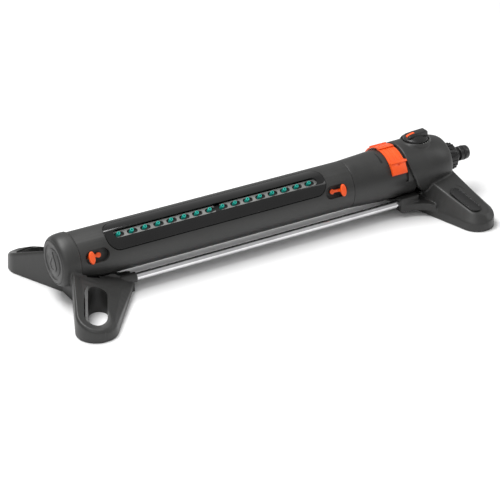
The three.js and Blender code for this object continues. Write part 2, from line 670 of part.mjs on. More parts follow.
function jetPlate() {
  const jets = [-0.42, 0.42].map((angle) => {
    const around = shaftAngles[2] + angle;
    return moved(disc(JET_PLATE - 1, JET_PLATE + 3, 2.2), 0, 15 * Math.cos(around), 15 * Math.sin(around));
  });
  const plate = disc(JET_PLATE, JET_PLATE + PLATE, GEARBOX_BORE - GAP);
  const pinHole = disc(JET_PLATE - 1, JET_PLATE + 3, PIN_RADIUS + GAP + 0.6);
  return cut(plate, pinHole, ...jets);
}

function reversingLever() {
  const start = JET_PLATE + PLATE + 0.5;
  const hub = ring(start, start + 9, PIN_RADIUS + GAP + 0.6, 4.4);
  const vane = sector(start, start + 2.2, 4, 19, -0.16, 0.16);
  const aim = shaftAngles[2] - Math.PI / 2;
  const finger = box(start + 5, start + 9, -1.6, 1.6, 3.6, 23.5);
  return unite(hub, turnedAboutX(vane, aim), finger);
}

const reversingPin = () => disc(JET_PLATE - 1.5, JET_PLATE + 16, PIN_RADIUS + 0.6);

// ---- Range sliders -----------------------------------------------------------------------------

// The front slider's band lies under the rear one's, so that they pass each other at the top.
function slider(front) {
  const layer = TRACK_RADIUS + (front ? 0 : SLIDER_THICKNESS + GAP);
  const x0 = SLIDER_X;
  const x1 = SLIDER_X + SLIDER_WIDTH;
  const tail = THREE.MathUtils.degToRad(front ? -8 : 0);
  const at = front ? FRONT_RIDGE : REAR_RIDGE;
  const plateEnd = at + THREE.MathUtils.degToRad(25);
  const top = TRACK_RADIUS + SLIDER_HEIGHT;
  const band = sector(x0, x1, layer, layer + SLIDER_THICKNESS, tail, plateEnd);
  const ridge = sector(x0, x1 + 1.5, layer, top, at - 0.035, at + 0.035);
  const plate = sector(x0, x1 - 1, layer, top - 1.2, at, plateEnd - 0.03);
  const grooves = [-1.6, 1.6].map((shift) => {
    const x = (x0 + x1) / 2 + shift;
    return sector(x - 0.35, x + 0.35, layer + 0.8, 50, tail + 0.1, at - 0.1);
  });
  const hook = sector(x1 + GAP, x1 + 1.5, TRACK_RADIUS - 2.2, layer + 1, at - 0.1, at + 0.1);
  const made = unite(cut(band, ...grooves), ridge, plate, hook);
  return front ? made : mirroredY(made);
}

// ---- Flow valve --------------------------------------------------------------------------------

const KNOB_BASE = HOUSING_RADIUS - 1.4 + GAP;
const finHeights = [KNOB_BASE + 3.4, KNOB_BASE + KNOB_HEIGHT];

function knob() {
  const half = KNOB_FIN_LENGTH / 2;
  const fin = new THREE.Shape();
  fin.moveTo(-half + 1.5, finHeights[0]);
  fin.lineTo(-half + 2.5, finHeights[0] + 3.8);
  fin.quadraticCurveTo(-half + 5, finHeights[1] - 1.2, -half + 13, finHeights[1] - 0.6);
  fin.lineTo(half - 1, finHeights[1]);
  fin.lineTo(half, finHeights[0]);
  const base = post(0, 0, KNOB_BASE, finHeights[0] + 0.6, KNOB_RADIUS);
  const stripe = box(-half - 1, -half + 13, -1.6 - GAP, 1.6 + GAP, finHeights[0] + 2.2, 60);
  const socket = post(0, 0, KNOB_BASE - 1, KNOB_BASE + 3, 3.3);
  const made = unite(base, drawnAcross(fin, KNOB_FIN_WIDTH / 2));
  return moved(cut(made, cut(stripe, drawnAcross(stripeFloor(0), 10)), socket), KNOB_X, 0, 0);
}

// The line below which the fin stays solid under its inlaid stripe.
function stripeFloor(lift) {
  const half = KNOB_FIN_LENGTH / 2;
  const floor = new THREE.Shape();
  floor.moveTo(-half + 3.6 - lift, finHeights[0] - 3);
  floor.lineTo(-half + 4.4 - lift, finHeights[0] + 3.2 + lift);
  floor.quadraticCurveTo(-half + 6.4, finHeights[1] - 2.6 + lift, -half + 13.5, finHeights[1] - 2 + lift);
  floor.lineTo(half, finHeights[1] - 2 + lift);
  floor.lineTo(half, finHeights[0] - 3);
  return floor;
}

function knobStripe() {
  const half = KNOB_FIN_LENGTH / 2;
  const block = box(-half + 1.6, -half + 13 - GAP, -1.6, 1.6, finHeights[0] + 2.2 + GAP, finHeights[1]);
  const outline = new THREE.Shape();
  outline.moveTo(-half + 1.9, finHeights[0] - 3);
  outline.lineTo(-half + 2.5, finHeights[0] + 3.9);
  outline.quadraticCurveTo(-half + 5, finHeights[1] - 1.1, -half + 13, finHeights[1] - 0.4);
  outline.lineTo(half, finHeights[1] - 0.4);
  outline.lineTo(half, finHeights[0] - 3);
  const made = block.intersect(drawnAcross(outline, 10));
  return moved(cut(made, drawnAcross(stripeFloor(GAP), 20)), KNOB_X, 0, 0);
}

function spindle() {
  const stem = post(KNOB_X, 0, -SPINDLE_RADIUS - 2, KNOB_BASE - GAP, SPINDLE_RADIUS - GAP);
  const neck = post(KNOB_X, 0, 20, KNOB_BASE + 2.6, 2.9);
  const port = disc(KNOB_X - 20, KNOB_X + 20, 4);
  const groove = cut(post(KNOB_X, 0, 24, 26.4, 20), post(KNOB_X, 0, 20, 30, SPINDLE_RADIUS - 1.6));
  return cut(unite(stem, neck), port, groove);
}

function manifoldPipe() {
  const pipe = disc(GEARBOX_END - 13, HOUSING_END + 0.5, INLET_RADIUS);
  const tower = post(KNOB_X, 0, -10, 28, SPINDLE_RADIUS + 1.9);
  return cut(
    unite(pipe, tower),
    disc(GEARBOX_END - 14, HOUSING_END + 1.5, INLET_BORE),
    post(KNOB_X, 0, -8.3, 30, SPINDLE_RADIUS),
  );
}

function spindleSeal() {
  const outer = post(KNOB_X, 0, 24.4, 26, SPINDLE_RADIUS - GAP / 2);
  return cut(outer, post(KNOB_X, 0, 20, 30, SPINDLE_RADIUS - 1.6 + GAP));
}

// ---- Hose inlet --------------------------------------------------------------------------------

function inletNut() {
  const body = ring(NUT_START, NUT_END, SPIGOT_RADIUS + GAP, NUT_RADIUS - 0.9);
  const face = ring(NUT_END - 2.5, NUT_END, STEM_RADIUS + 1.2, NUT_RADIUS - 1.2);
  const ribs = [];
  for (let rib = 0; rib < NUT_RIBS; rib++) {
    const bar = box(NUT_START + 1, NUT_END - 1.2, NUT_RADIUS - 1.6, NUT_RADIUS, -0.8, 0.8);
    ribs.push(turnedAboutX(bar, (2 * rib * Math.PI) / NUT_RIBS));
  }
  return unite(body, face, ...ribs);
}

const FLANGE = NUT_END - 2.5 - GAP - 1.6;
const STEM_END = NUT_END + STEM_LENGTH;
const SEAL_X = NUT_END + 14.5;

function inletStem() {
  return turned(
    [
      [FLANGE, INLET_BORE - 2],
      [FLANGE, SPIGOT_RADIUS - 0.4],
      [FLANGE + 1.6, SPIGOT_RADIUS - 0.4],
      [FLANGE + 1.6, STEM_RADIUS + 0.6],
      [NUT_END + 1.2, STEM_RADIUS + 0.6],
      [NUT_END + 1.8, STEM_RADIUS - 2],
      [NUT_END + 8, STEM_RADIUS - 2],
      [NUT_END + 8.6, STEM_RADIUS],
      [SEAL_X - 1.2, STEM_RADIUS],
      [SEAL_X - 1.2, STEM_RADIUS - 1.8],
      [SEAL_X + 1.2, STEM_RADIUS - 1.8],
      [SEAL_X + 1.2, STEM_RADIUS],
      [STEM_END - 3, STEM_RADIUS - 0.2],
      [STEM_END - 1, STEM_RADIUS - 1],
      [STEM_END, STEM_RADIUS - 2.2],
      [STEM_END, INLET_BORE - 2],
      [FLANGE, INLET_BORE - 2],
    ],
  );
}

const stemSeal = () => ring(SEAL_X - 0.8, SEAL_X + 0.8, STEM_RADIUS - 1.5, STEM_RADIUS + 0.3);
const inletWasher = () => ring(SPIGOT_END + GAP, FLANGE - GAP, INLET_BORE, SPIGOT_RADIUS - 0.4);

// A fine strainer cup that sits in the spigot's mouth.
function inletFilter() {
  const end = SPIGOT_END - 0.4;
  const length = 9;
  const cup = turned(
    [
      [end - length, 0], [end - length, 5], [end - 1.6, INLET_RADIUS - 4],
      [end - 1.6, INLET_RADIUS - 0.4], [end, INLET_RADIUS - 0.4], [end, INLET_RADIUS - 5],
      [end - length + 1, 4], [end - length + 1, 0],
    ],
  );
  const holes = [];
  for (let hole = 0; hole < 8; hole++) {
    const slot = box(end - length + 2, end - 2.6, 3, 12, -0.7, 0.7);
    holes.push(turnedAboutX(slot, (hole * Math.PI) / 4));
  }
  return cut(cup, ...holes);
}

// ---- Spray tube, drawn with its nozzles straight up --------------------------------------------

const LEVER_LEAN = THREE.MathUtils.degToRad(38); // levers lie this far round from the nozzles
const RECESS_FLOOR = TUBE_RADIUS - 7;
const levers = [
  { pivot: SLOT_START - 22.5, knobSide: -1 },
  { pivot: SLOT_END + 18, knobSide: 1 },
];

const leaned = (body, angle = LEVER_LEAN) => turnedAboutX(body, angle);

// The long round-ended recess in which a lever's arm swings.
const RECESS_LENGTH = 29;
const RECESS_WIDTH = 15.4;

const recessCentre = ({ pivot, knobSide }) => pivot + 3 * knobSide;

function leverRecess(lever, margin, z0, z1) {
  const outline = rounded(RECESS_LENGTH + 2 * margin, RECESS_WIDTH + 2 * margin, RECESS_WIDTH);
  return leaned(moved(raised(outline, z0, z1), recessCentre(lever), 0, 0));
}

function sprayTube() {
  const shell = ring(TUBE_START, TUBE_END, TUBE_BORE, TUBE_RADIUS);
  const panelPocket = rounded(
    SLOT_END - SLOT_START + 2 * PANEL_MARGIN + 1.6,
    2 * PANEL_HALF_WIDTH + 1.6,
    PANEL_CORNER + 0.8,
  );
  const pocket = moved(raised(panelPocket, 0, 60, 8), TUBE_MIDDLE, 0, 0);
  const floor = disc(TUBE_START - 1, TUBE_END + 1, PANEL_INNER - GAP);
  const slotLength = SLOT_END - SLOT_START + 1;
  const slot = moved(raised(rounded(slotLength, SLOT_WIDTH + 1, 20), 10, 60), TUBE_MIDDLE, 0, 0);
  const cups = levers.map((lever) =>
    leverRecess(lever, 1.4, RECESS_FLOOR - 1.4, 40).intersect(
      disc(TUBE_START, TUBE_END, TUBE_RADIUS),
    ),
  );
  const recesses = levers.map((lever) => leverRecess(lever, 0, RECESS_FLOOR, 60));
  const pivots = levers.map(({ pivot }) => leaned(post(pivot, 0, 10, 40, 2.2 + GAP)));
  return cut(unite(shell, ...cups), cut(pocket, floor), slot, ...recesses, ...pivots);
}

function trimPanel() {
  const outline = rounded(
    SLOT_END - SLOT_START + 2 * PANEL_MARGIN, 2 * PANEL_HALF_WIDTH, PANEL_CORNER);
  outline.holes.push(rounded(SLOT_END - SLOT_START, SLOT_WIDTH, 20));
  const skin = ring(TUBE_START, TUBE_END, PANEL_INNER, PANEL_OUTER);
  return moved(raised(outline, 0, 60, 10), TUBE_MIDDLE, 0, 0).intersect(skin);
}

const nozzlePlaces = Array.from(
  { length: NOZZLES },
  (_, nozzle) => TUBE_MIDDLE + NOZZLE_SHIFT + (nozzle - (NOZZLES - 1) / 2) * NOZZLE_PITCH,
);
const STRIP_BASE = TUBE_RADIUS - 7.2;
const STRIP_TOP = STRIP_BASE + 1.8;
const NOZZLE_TOP = TUBE_RADIUS + 0.2;
const COMB_BASE = STRIP_TOP + GAP;
const COMB_TOP = COMB_BASE + 1.8;

function nozzleStrip() {
  const base = raised(rounded(2 * SLOT_HALF - 3, 9, 4.5), STRIP_BASE, STRIP_TOP);
  const tips = nozzlePlaces.map((x) =>
    solid(
      new THREE.CylinderGeometry(
        NOZZLE_TIP_RADIUS, NOZZLE_ROOT_RADIUS, NOZZLE_TOP - STRIP_TOP + 0.5, 8)
        .rotateX(Math.PI / 2)
        .translate(x, 0, (NOZZLE_TOP + STRIP_TOP - 0.5) / 2),
    ),
  );
  const jets = nozzlePlaces.map((x) =>
    solid(new THREE.CylinderGeometry(JET_RADIUS, JET_RADIUS, 20, 6).rotateX(Math.PI / 2).translate(x, 0, NOZZLE_TOP - 5)),
  );
  return cut(unite(moved(base, TUBE_MIDDLE, 0, 0), ...tips), ...jets);
}

const COMB_SHIFT = 1.2; // combs rest this far to the right of their nozzles
const COMB_SLOT = 13; // length of each nozzle's slot in a comb

// Each comb guides half of the nozzles and has a fork below its outer end for its lever's finger.
function comb(half) {
  const mine = nozzlePlaces.filter((_, nozzle) => (nozzle < NOZZLES / 2 ? 0 : 1) === half);
  const lever = levers[half];
  const inner = TUBE_MIDDLE + (half ? 1 : -1) * 4 + COMB_SHIFT;
  const outer = lever.pivot - lever.knobSide * 2;
  const from = Math.min(inner, outer - 4 * (1 - half) - 2);
  const to = Math.max(inner, outer + 4 * half + 2);
  const bar = box(from, to, -4.3, 4.3, COMB_BASE, COMB_TOP);
  const slots = mine.map((x) => {
    const slot = raised(rounded(COMB_SLOT, 5.6, 2.8), COMB_BASE - 1, COMB_TOP + 1, 2);
    return moved(slot, x + COMB_SHIFT, 0, 0);
  });
  const prongs = [-1, 1].map((side) => {
    const x = lever.pivot + side * 2.9;
    return box(x - 0.9, x + 0.9, -4.6, -1.2, COMB_BASE - 5, COMB_BASE + 0.5);
  });
  return cut(unite(bar, ...prongs), ...slots);
}

// A lever: the grip stands on a neck above the tube, the arm lies in the recess, and the crank and
// its finger under the recess reach the comb's fork.
function widthLever({ pivot, knobSide }) {
  const x = pivot + knobSide * GRIP_REACH;
  const grip = new THREE.Shape();
  grip.absellipse(0, 0, 3.4, 6.8, 0, 2 * Math.PI);
  const floor = RECESS_FLOOR;
  const top = TUBE_RADIUS + 0.5;
  return leaned(
    unite(
      moved(raised(grip, top, top + 3.4, 16), x, 0, 0),
      post(x, 0, floor + 1, top + 1, 2.4),
      box(Math.min(pivot, x), Math.max(pivot, x), -1.9, 1.9, floor + 0.6, floor + 2.6),
      post(pivot, 0, floor + 0.6, floor + 2.8, 3.4),
      post(pivot, 0, floor - 5.2, floor + 1, 2.2),
      box(pivot - 1.2, pivot + 1.2, 0, LEVER_REACH, floor - 5, floor - 3.2),
      post(pivot, LEVER_REACH, floor - 5, floor - 1.4, 1.5),
    ),
  );
}

const CHANNEL_START = SLOT_START - 4;

function waterChannel() {
  const end = HUB_START - GAP;
  const pipe = disc(CHANNEL_START, end, 11);
  const riser = box(CHANNEL_START, SLOT_END + 3, -4.6, 4.6, 0, STRIP_BASE - GAP);
  const bore = disc(CHANNEL_START + 2, end + 1, 9);
  const gallery = box(CHANNEL_START + 4, SLOT_END - 1, -2.6, 2.6, 5, STRIP_BASE + 1);
  return cut(unite(pipe, riser), bore, gallery);
}

function endPlug() {
  return turned([
    [CAP_THICKNESS + 3, 0], [CAP_THICKNESS + 3, JOURNAL_RADIUS - 1],
    [CAP_THICKNESS + 4, JOURNAL_RADIUS], [TUBE_START + 0.8, JOURNAL_RADIUS],
    [TUBE_START + 0.8, TUBE_BORE - GAP], [TUBE_START + 3, TUBE_BORE - GAP],
    [TUBE_START + 3, 0],
  ]);
}

const SHAFT_RADIUS = 8;
const SHAFT_END = stagePlanes[0] + GEAR_WIDTH + 1;
const HUB_START = TUBE_END - 6;

function driveHub() {
  return turned([
    [HUB_START, 6], [HUB_START, TUBE_BORE - GAP], [TUBE_END - 3, TUBE_BORE - GAP],
    [TUBE_END - 3, 12], [TUBE_END - 1, 12], [TUBE_END - 1, SHAFT_RADIUS],
    [SHAFT_END, SHAFT_RADIUS], [SHAFT_END, 6], [HUB_START, 6],
  ]);
}

function driveGear() {
  const facing = towards([0, 0], shaftPlaces[0]) - NOZZLE_TILT;
  return gear(DRIVE_TEETH, stagePlanes[0], stagePlanes[0] + GEAR_WIDTH, SHAFT_RADIUS + GAP, facing);
}

const shaftSeal = () => ring(GEARBOX_START + 1, GEARBOX_START + 4, SHAFT_RADIUS + GAP, 11.5);
const bush = () =>
  ring(CAP_THICKNESS + 2, RING_LENGTH - 0.5, JOURNAL_RADIUS + GAP, JOURNAL_RADIUS + BUSH_WALL);

// ---- Assembly ----------------------------------------------------------------------------------

const sprinkler = new THREE.Group();
const sprayGroup = new THREE.Group();
sprayGroup.rotation.x = NOZZLE_TILT;
sprinkler.add(sprayGroup);

function addTo(group, name, body, material, y = 0, z = 0) {
  const mesh = new THREE.Mesh(geometryOf(body), material);
  mesh.name = name;
  mesh.position.set(0, y, z);
  group.add(mesh);
}
const add = (...piece) => addTo(sprinkler, ...piece);
const addToTube = (...piece) => addTo(sprayGroup, ...piece);

add("left_foot", leftFoot(), charcoal);
add("left_end_cap", leftCap(), charcoal);
add("left_bush", bush(), natural);
add("support_rod_front", rod(), steel, -ROD_SPREAD, -ROD_DROP);
add("support_rod_rear", rod(), steel, ROD_SPREAD, -ROD_DROP);
rodScrewPlaces.forEach((screwPlace, place) => {
  const foot = place < 2 ? "left" : "right";
  add(`rod_screw_${foot}_${screwPlace[1] < 0 ? "front" : "rear"}`, rodScrew(screwPlace), steel);
});
add("right_foot", rightFoot(), charcoal);
add("badge_front", badge(), black);
add("badge_rear", mirroredY(badge()), black);
add("gearbox_shell", gearboxShell(), charcoal);
housingScrewAngles.forEach((angle, place) => {
  add(`gearbox_screw_${place + 1}`, housingScrew(angle), steel);
});
add("gear_plate_front", gearPlate(FRONT_PLATE, SHAFT_RADIUS + GAP, []), natural);
add("gear_plate_rear", gearPlate(REAR_PLATE, 4, [0, 1.2, -1.2]), natural);
add("gear_pin_1", gearPin(0), steel);
add("gear_pin_2", gearPin(1), steel);
add("reduction_gear_1", compoundGear(0), natural);
add("reduction_gear_2", compoundGear(1), natural);
add("turbine_wheel", turbine(), natural);
add("jet_plate", jetPlate(), grey);
add("reversing_lever", reversingLever(), natural);
add("reversing_pin", reversingPin(), steel);
add("shaft_seal", shaftSeal(), seal);
add("range_slider_front", slider(true), orange);
add("range_slider_rear", slider(false), orange);
add("flow_knob", knob(), black);
add("flow_knob_stripe", knobStripe(), orange);
add("valve_spindle", spindle(), natural);
add("spindle_seal", spindleSeal(), seal);
add("inlet_manifold", manifoldPipe(), black);
add("inlet_nut", inletNut(), black);
add("inlet_stem", inletStem(), black);
add("stem_seal", stemSeal(), seal);
add("inlet_washer", inletWasher(), seal);
add("inlet_filter", inletFilter(), grey);

addToTube("spray_tube", sprayTube(), charcoal);
addToTube("trim_panel", trimPanel(), gloss);
addToTube("nozzle_strip", nozzleStrip(), teal);
addToTube("comb_left", comb(0), grey);
addToTube("comb_right", comb(1), grey);
addToTube("width_lever_left", widthLever(levers[0]), orange);
addToTube("width_lever_right", widthLever(levers[1]), orange);
addToTube("water_channel", waterChannel(), black);
addToTube("tube_end_plug", endPlug(), charcoal);
addToTube("tube_drive_hub", driveHub(), charcoal);
addToTube("drive_gear", driveGear(), natural);

sprinkler.updateMatrixWorld(true);
const footprint = new THREE.Box3().setFromObject(sprinkler, true);
sprinkler.position.set(-(footprint.min.x + footprint.max.x) / 2, 0, AXIS_HEIGHT);

export default sprinkler;
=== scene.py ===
"""An oscillating garden sprinkler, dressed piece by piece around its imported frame.

Shapes are drawn in millimetres: X counts stations from the outer face of the left end cap, and Y
and Z are measured from the tube's axis. Each finished piece is set into the frame, in metres.
"""

from __future__ import annotations

import json
import logging
import math
from collections.abc import Callable, Sequence
from dataclasses import dataclass, field
from enum import Enum

import bmesh
import bpy
from mathutils import Matrix, Vector


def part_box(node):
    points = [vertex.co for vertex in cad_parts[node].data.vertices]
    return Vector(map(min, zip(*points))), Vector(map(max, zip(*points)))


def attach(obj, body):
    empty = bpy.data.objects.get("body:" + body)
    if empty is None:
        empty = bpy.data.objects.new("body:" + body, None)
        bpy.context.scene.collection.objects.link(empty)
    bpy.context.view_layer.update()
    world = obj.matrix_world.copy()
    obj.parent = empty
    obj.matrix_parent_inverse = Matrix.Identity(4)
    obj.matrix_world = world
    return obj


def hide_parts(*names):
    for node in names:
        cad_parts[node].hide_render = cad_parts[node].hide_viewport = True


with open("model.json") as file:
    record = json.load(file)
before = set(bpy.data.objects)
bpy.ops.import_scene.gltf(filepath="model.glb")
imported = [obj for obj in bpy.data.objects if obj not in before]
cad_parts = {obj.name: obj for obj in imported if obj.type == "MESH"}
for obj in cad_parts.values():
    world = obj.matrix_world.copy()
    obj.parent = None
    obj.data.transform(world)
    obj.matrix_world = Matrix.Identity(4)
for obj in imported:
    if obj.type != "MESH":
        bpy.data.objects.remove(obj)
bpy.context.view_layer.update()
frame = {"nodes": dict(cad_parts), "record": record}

log = logging.getLogger("sprinkler")

Point2 = tuple[float, float]
Point3 = tuple[float, float, float]
Colour = tuple[float, float, float]

MM = 0.001
TUBE_START = 20.6
GAP = 0.35
WALL = 2.8
TILT = math.radians(33.5)
ORIGIN_STATION = TUBE_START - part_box("spray_tube")[0].x / MM
AXIS_HEIGHT = sum(corner.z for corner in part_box("left_end_cap")) / 2 / MM
GROUND = -AXIS_HEIGHT
ROD = (-24.0, -31.2)  # the front rod's centre
ROD_BORE = 4.85
MOUTH = 447.1  # station of the valve housing's front rim
KNOB_X = 476.95
DRUM_STEPS = 160  # flat sides of the rocking drum
ROUND_STEPS = 128  # flat sides of the other large rounds
SKIN_GRID = 1.0  # face size of a foot's melted skin
ROOM_GRID = 1.1  # face size of the space under a leg
CUT_ROOM_GRID = 0.97  # face size of that space once it has been cut


class Slot(Enum):
    """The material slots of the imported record."""

    CHARCOAL = "charcoal"
    BLACK = "black"
    GLOSS = "gloss_black"
    ORANGE = "orange"
    TEAL = "teal"
    GREY = "grey"
    NATURAL = "natural"
    SEAL = "seal"
    TUBE = "bright_tube"
    STEEL = "steel"


class Join(Enum):
    """How two solids are combined."""

    UNITE = "UNION"
    CUT = "DIFFERENCE"
    MEET = "INTERSECT"


# ---- Solids -------------------------------------------------------------------------------------


class Solid:
    """A closed body in millimetres that is shaped step by step; every step returns a new body."""

    def __init__(self, mesh: bpy.types.Mesh) -> None:
        """Wraps a mesh.

        Args:
            mesh: the body's surface.
        """
        self.mesh = mesh

    @classmethod
    def made(cls, points: Sequence[Sequence[float]], faces: Sequence[Sequence[int]]) -> Solid:
        """Makes a body from points and faces, with poles closed and faces turned outwards.

        Args:
            points: the corners.
            faces: the corner numbers of each face.

        Returns:
            The new body.
        """
        mesh = bpy.data.meshes.new("solid")
        mesh.from_pydata([tuple(p) for p in points], [], [tuple(f) for f in faces])
        shape = bmesh.new()
        shape.from_mesh(mesh)
        bmesh.ops.remove_doubles(shape, verts=shape.verts, dist=1e-4)
        bmesh.ops.dissolve_degenerate(shape, edges=shape.edges, dist=1e-5)
        bmesh.ops.recalc_face_normals(shape, faces=shape.faces)
        shape.to_mesh(mesh)
        shape.free()
        return cls(mesh)

    def evaluated(self, prepare: Callable[[bpy.types.Object], None]) -> Solid:
        """Runs modifiers over the body.

        Args:
            prepare: adds the modifiers to a work object.

        Returns:
            The body with the modifiers applied.
        """
        work = bpy.data.objects.new("work", self.mesh)
        bpy.context.scene.collection.objects.link(work)
        prepare(work)
        bpy.context.view_layer.update()
        graph = bpy.context.evaluated_depsgraph_get()
        mesh = bpy.data.meshes.new_from_object(work.evaluated_get(graph))
        bpy.data.objects.remove(work)
        return Solid(mesh)

    def joined(self, other: Solid, how: Join) -> Solid:
        """Combines two bodies.

        Args:
            other: the second body.
            how: whether it is added, taken away or met.

        Returns:
            The combined body.
        """
        tool = bpy.data.objects.new("tool", other.mesh)
        bpy.context.scene.collection.objects.link(tool)

        def prepare(work: bpy.types.Object) -> None:
            """Adds the boolean.

            Args:
                work: the object that holds this body.
            """
            step = work.modifiers.new("join", "BOOLEAN")
            step.operation = how.value
            step.solver = "EXACT"
            step.object = tool

        result = self.evaluated(prepare)
        bpy.data.objects.remove(tool)
        return result

    def plus(self, *others: Solid) -> Solid:
        """Adds bodies to this one.

        Args:
            others: the bodies to add.

        Returns:
            The united body.
        """
        result = self
        for other in others:
            result = result.joined(other, Join.UNITE)
        return result

    def minus(self, *others: Solid) -> Solid:
        """Takes bodies away from this one.

        Args:
            others: the bodies to take away.

        Returns:
            What is left of this body.
        """
        result = self
        for other in others:
            result = result.joined(other, Join.CUT)
        return result

    def meeting(self, other: Solid) -> Solid:
        """Keeps what this body shares with another."""
        return self.joined(other, Join.MEET)

    def beside(self, *others: Solid) -> Solid:
        """Puts bodies into one mesh without joining their surfaces.

        Args:
            others: the bodies that go beside this one.

        Returns:
            The bodies as one.
        """
        shape = bmesh.new()
        for body in (self, *others):
            shape.from_mesh(body.mesh)
        mesh = bpy.data.meshes.new("solid")
        shape.to_mesh(mesh)
        shape.free()
        return Solid(mesh)

    def placed(self, matrix: Matrix) -> Solid:
        """Moves, turns or mirrors a copy of the body.

        Args:
            matrix: the transform; one that mirrors has its faces turned back outwards.

        Returns:
            The placed copy.
        """
        mesh = self.mesh.copy()
        mesh.transform(matrix)
        if matrix.determinant() < 0:
            mesh.flip_normals()
        return Solid(mesh)

    def moved(self, x: float, y: float, z: float) -> Solid:
        """Moves a copy of the body."""
        return self.placed(Matrix.Translation((x, y, z)))

    def turned(self, angle: float, axis: str = "X") -> Solid:
        """Turns a copy of the body about a main axis, by an angle in radians."""
        return self.placed(Matrix.Rotation(angle, 4, axis))

    def mirrored(self) -> Solid:
        """Mirrors a copy of the body from front to rear."""
        return self.placed(Matrix.Scale(-1, 4, (0, 1, 0)))

    def both_sides(self) -> Solid:
        """Adds the mirrored copy of a body that stays on one side."""
        return self.beside(self.mirrored())

    def bevelled(self, width: float, segments: int = 2, angle: float = 38) -> Solid:
        """Rounds the sharp edges.

        Args:
            width: the rounding's width.
            segments: the steps across it.
            angle: edges that turn by fewer degrees stay as they are.

        Returns:
            The rounded body.
        """

        def prepare(work: bpy.types.Object) -> None:
            """Adds the bevel.

            Args:
                work: the object that holds this body.
            """
            step = work.modifiers.new("round", "BEVEL")
            step.width = width
            step.segments = segments
            step.limit_method = "ANGLE"
            step.angle_limit = math.radians(angle)
            step.miter_outer = "MITER_ARC"
            step.use_clamp_overlap = True

        return self.evaluated(prepare)

    def moulded(self, grid: float, passes: int) -> Solid:
        """Melts overlapping bodies into one skin with soft edges.

        Args:
            grid: the size of the skin's faces.
            passes: how often the skin is smoothed.

        Returns:
            The moulded body.
        """

        def prepare(work: bpy.types.Object) -> None:
            """Adds the remesh and the smoothing.

            Args:
                work: the object that holds this body.
            """
            skin = work.modifiers.new("skin", "REMESH")
            skin.mode = "VOXEL"
            skin.voxel_size = grid
            skin.adaptivity = 0
            soft = work.modifiers.new("soft", "SMOOTH")
            soft.factor = 0.5
            soft.iterations = passes

        return self.evaluated(prepare)


def lathe(profile: Sequence[Point2], steps: int = 96) -> Solid:
    """Turns a closed profile round the tube's axis.

    Args:
        profile: (station, radius) pairs; the last joins the first.
        steps: the flat sides of a full round.

    Returns:
        The turned body.
    """
    count = len(profile)
    points = [
        (x, r * math.cos(turn), r * math.sin(turn))
        for turn in (2 * math.pi * step / steps for step in range(steps))
        for x, r in profile
    ]
    faces = []
    for step in range(steps):
        here, there = step * count, (step + 1) % steps * count
        for corner in range(count):
            after = (corner + 1) % count
            faces.append((here + corner, here + after, there + after, there + corner))
    return Solid.made(points, faces)


def disc(start: float, end: float, radius: float, steps: int = 64) -> Solid:
    """A round bar along the tube's axis."""
    return lathe([(start, 0), (start, radius), (end, radius), (end, 0)], steps)


def ring(start: float, end: float, inner: float, outer: float, steps: int = 96) -> Solid:
    """A round sleeve along the tube's axis."""
    return lathe([(start, inner), (start, outer), (end, outer), (end, inner)], steps)


def prism(outline: Sequence[Point2], low: float, high: float) -> Solid:
    """Raises an outline in the XY plane from one height to another.

    Args:
        outline: its (X, Y) points.
        low: the height of its foot.
        high: the height of its top.

    Returns:
        The raised body.
    """
    count = len(outline)
    points = [(x, y, z) for z in (low, high) for x, y in outline]
    sides = [(i, (i + 1) % count, count + (i + 1) % count, count + i) for i in range(count)]
    caps = [tuple(range(count))[::-1], tuple(range(count, 2 * count))]
    return Solid.made(points, [*sides, *caps])


def along_x(outline: Sequence[Point2], start: float, end: float) -> Solid:
    """Draws a (Y, Z) outline out between two stations."""
    basis = Matrix(((0, 0, 1, 0), (1, 0, 0, 0), (0, 1, 0, 0), (0, 0, 0, 1)))
    return prism(outline, start, end).placed(basis)


def across(outline: Sequence[Point2], half_width: float) -> Solid:
    """Draws an (X, Z) outline out to both sides of the middle plane."""
    return prism(outline, -half_width, half_width).turned(math.pi / 2)


def post(x: float, y: float, low: float, high: float, radius: float, steps: int = 64) -> Solid:
    """An upright round bar.

    Args:
        x: the station of its axis.
        y: how far its axis lies to the rear.
        low: the height of its foot.
        high: the height of its top.
        radius: its radius.
        steps: the flat sides of a full round.

    Returns:
        The bar.
    """
    round_bar = [
        (x + radius * math.cos(a), y + radius * math.sin(a))
        for a in (2 * math.pi * step / steps for step in range(steps))
    ]
    return prism(round_bar, low, high)


def box(low: Point3, high: Point3) -> Solid:
    """A block between two corners."""
    (x0, y0, z0), (x1, y1, z1) = low, high
    return prism([(x0, y0), (x1, y0), (x1, y1), (x0, y1)], z0, z1)


def rounded(length: float, width: float, corner: float, steps: int = 12) -> list[Point2]:
    """The outline of a rectangle with rounded corners, centred on (0, 0).

    Args:
        length: its size along X.
        width: its size along Y.
        corner: the corner radius, at most half a side.
        steps: the steps round each corner.

    Returns:
        The outline's points.
    """
    a, b = length / 2, width / 2
    r = min(corner, a - 0.01, b - 0.01)
    outline = []
    for quarter, (sx, sy) in enumerate(((1, 1), (-1, 1), (-1, -1), (1, -1))):
        for step in range(steps + 1):
            angle = (quarter + step / steps) * math.pi / 2
            outline.append(
                (sx * (a - r) + r * math.cos(angle), sy * (b - r) + r * math.sin(angle))
            )
    return outline


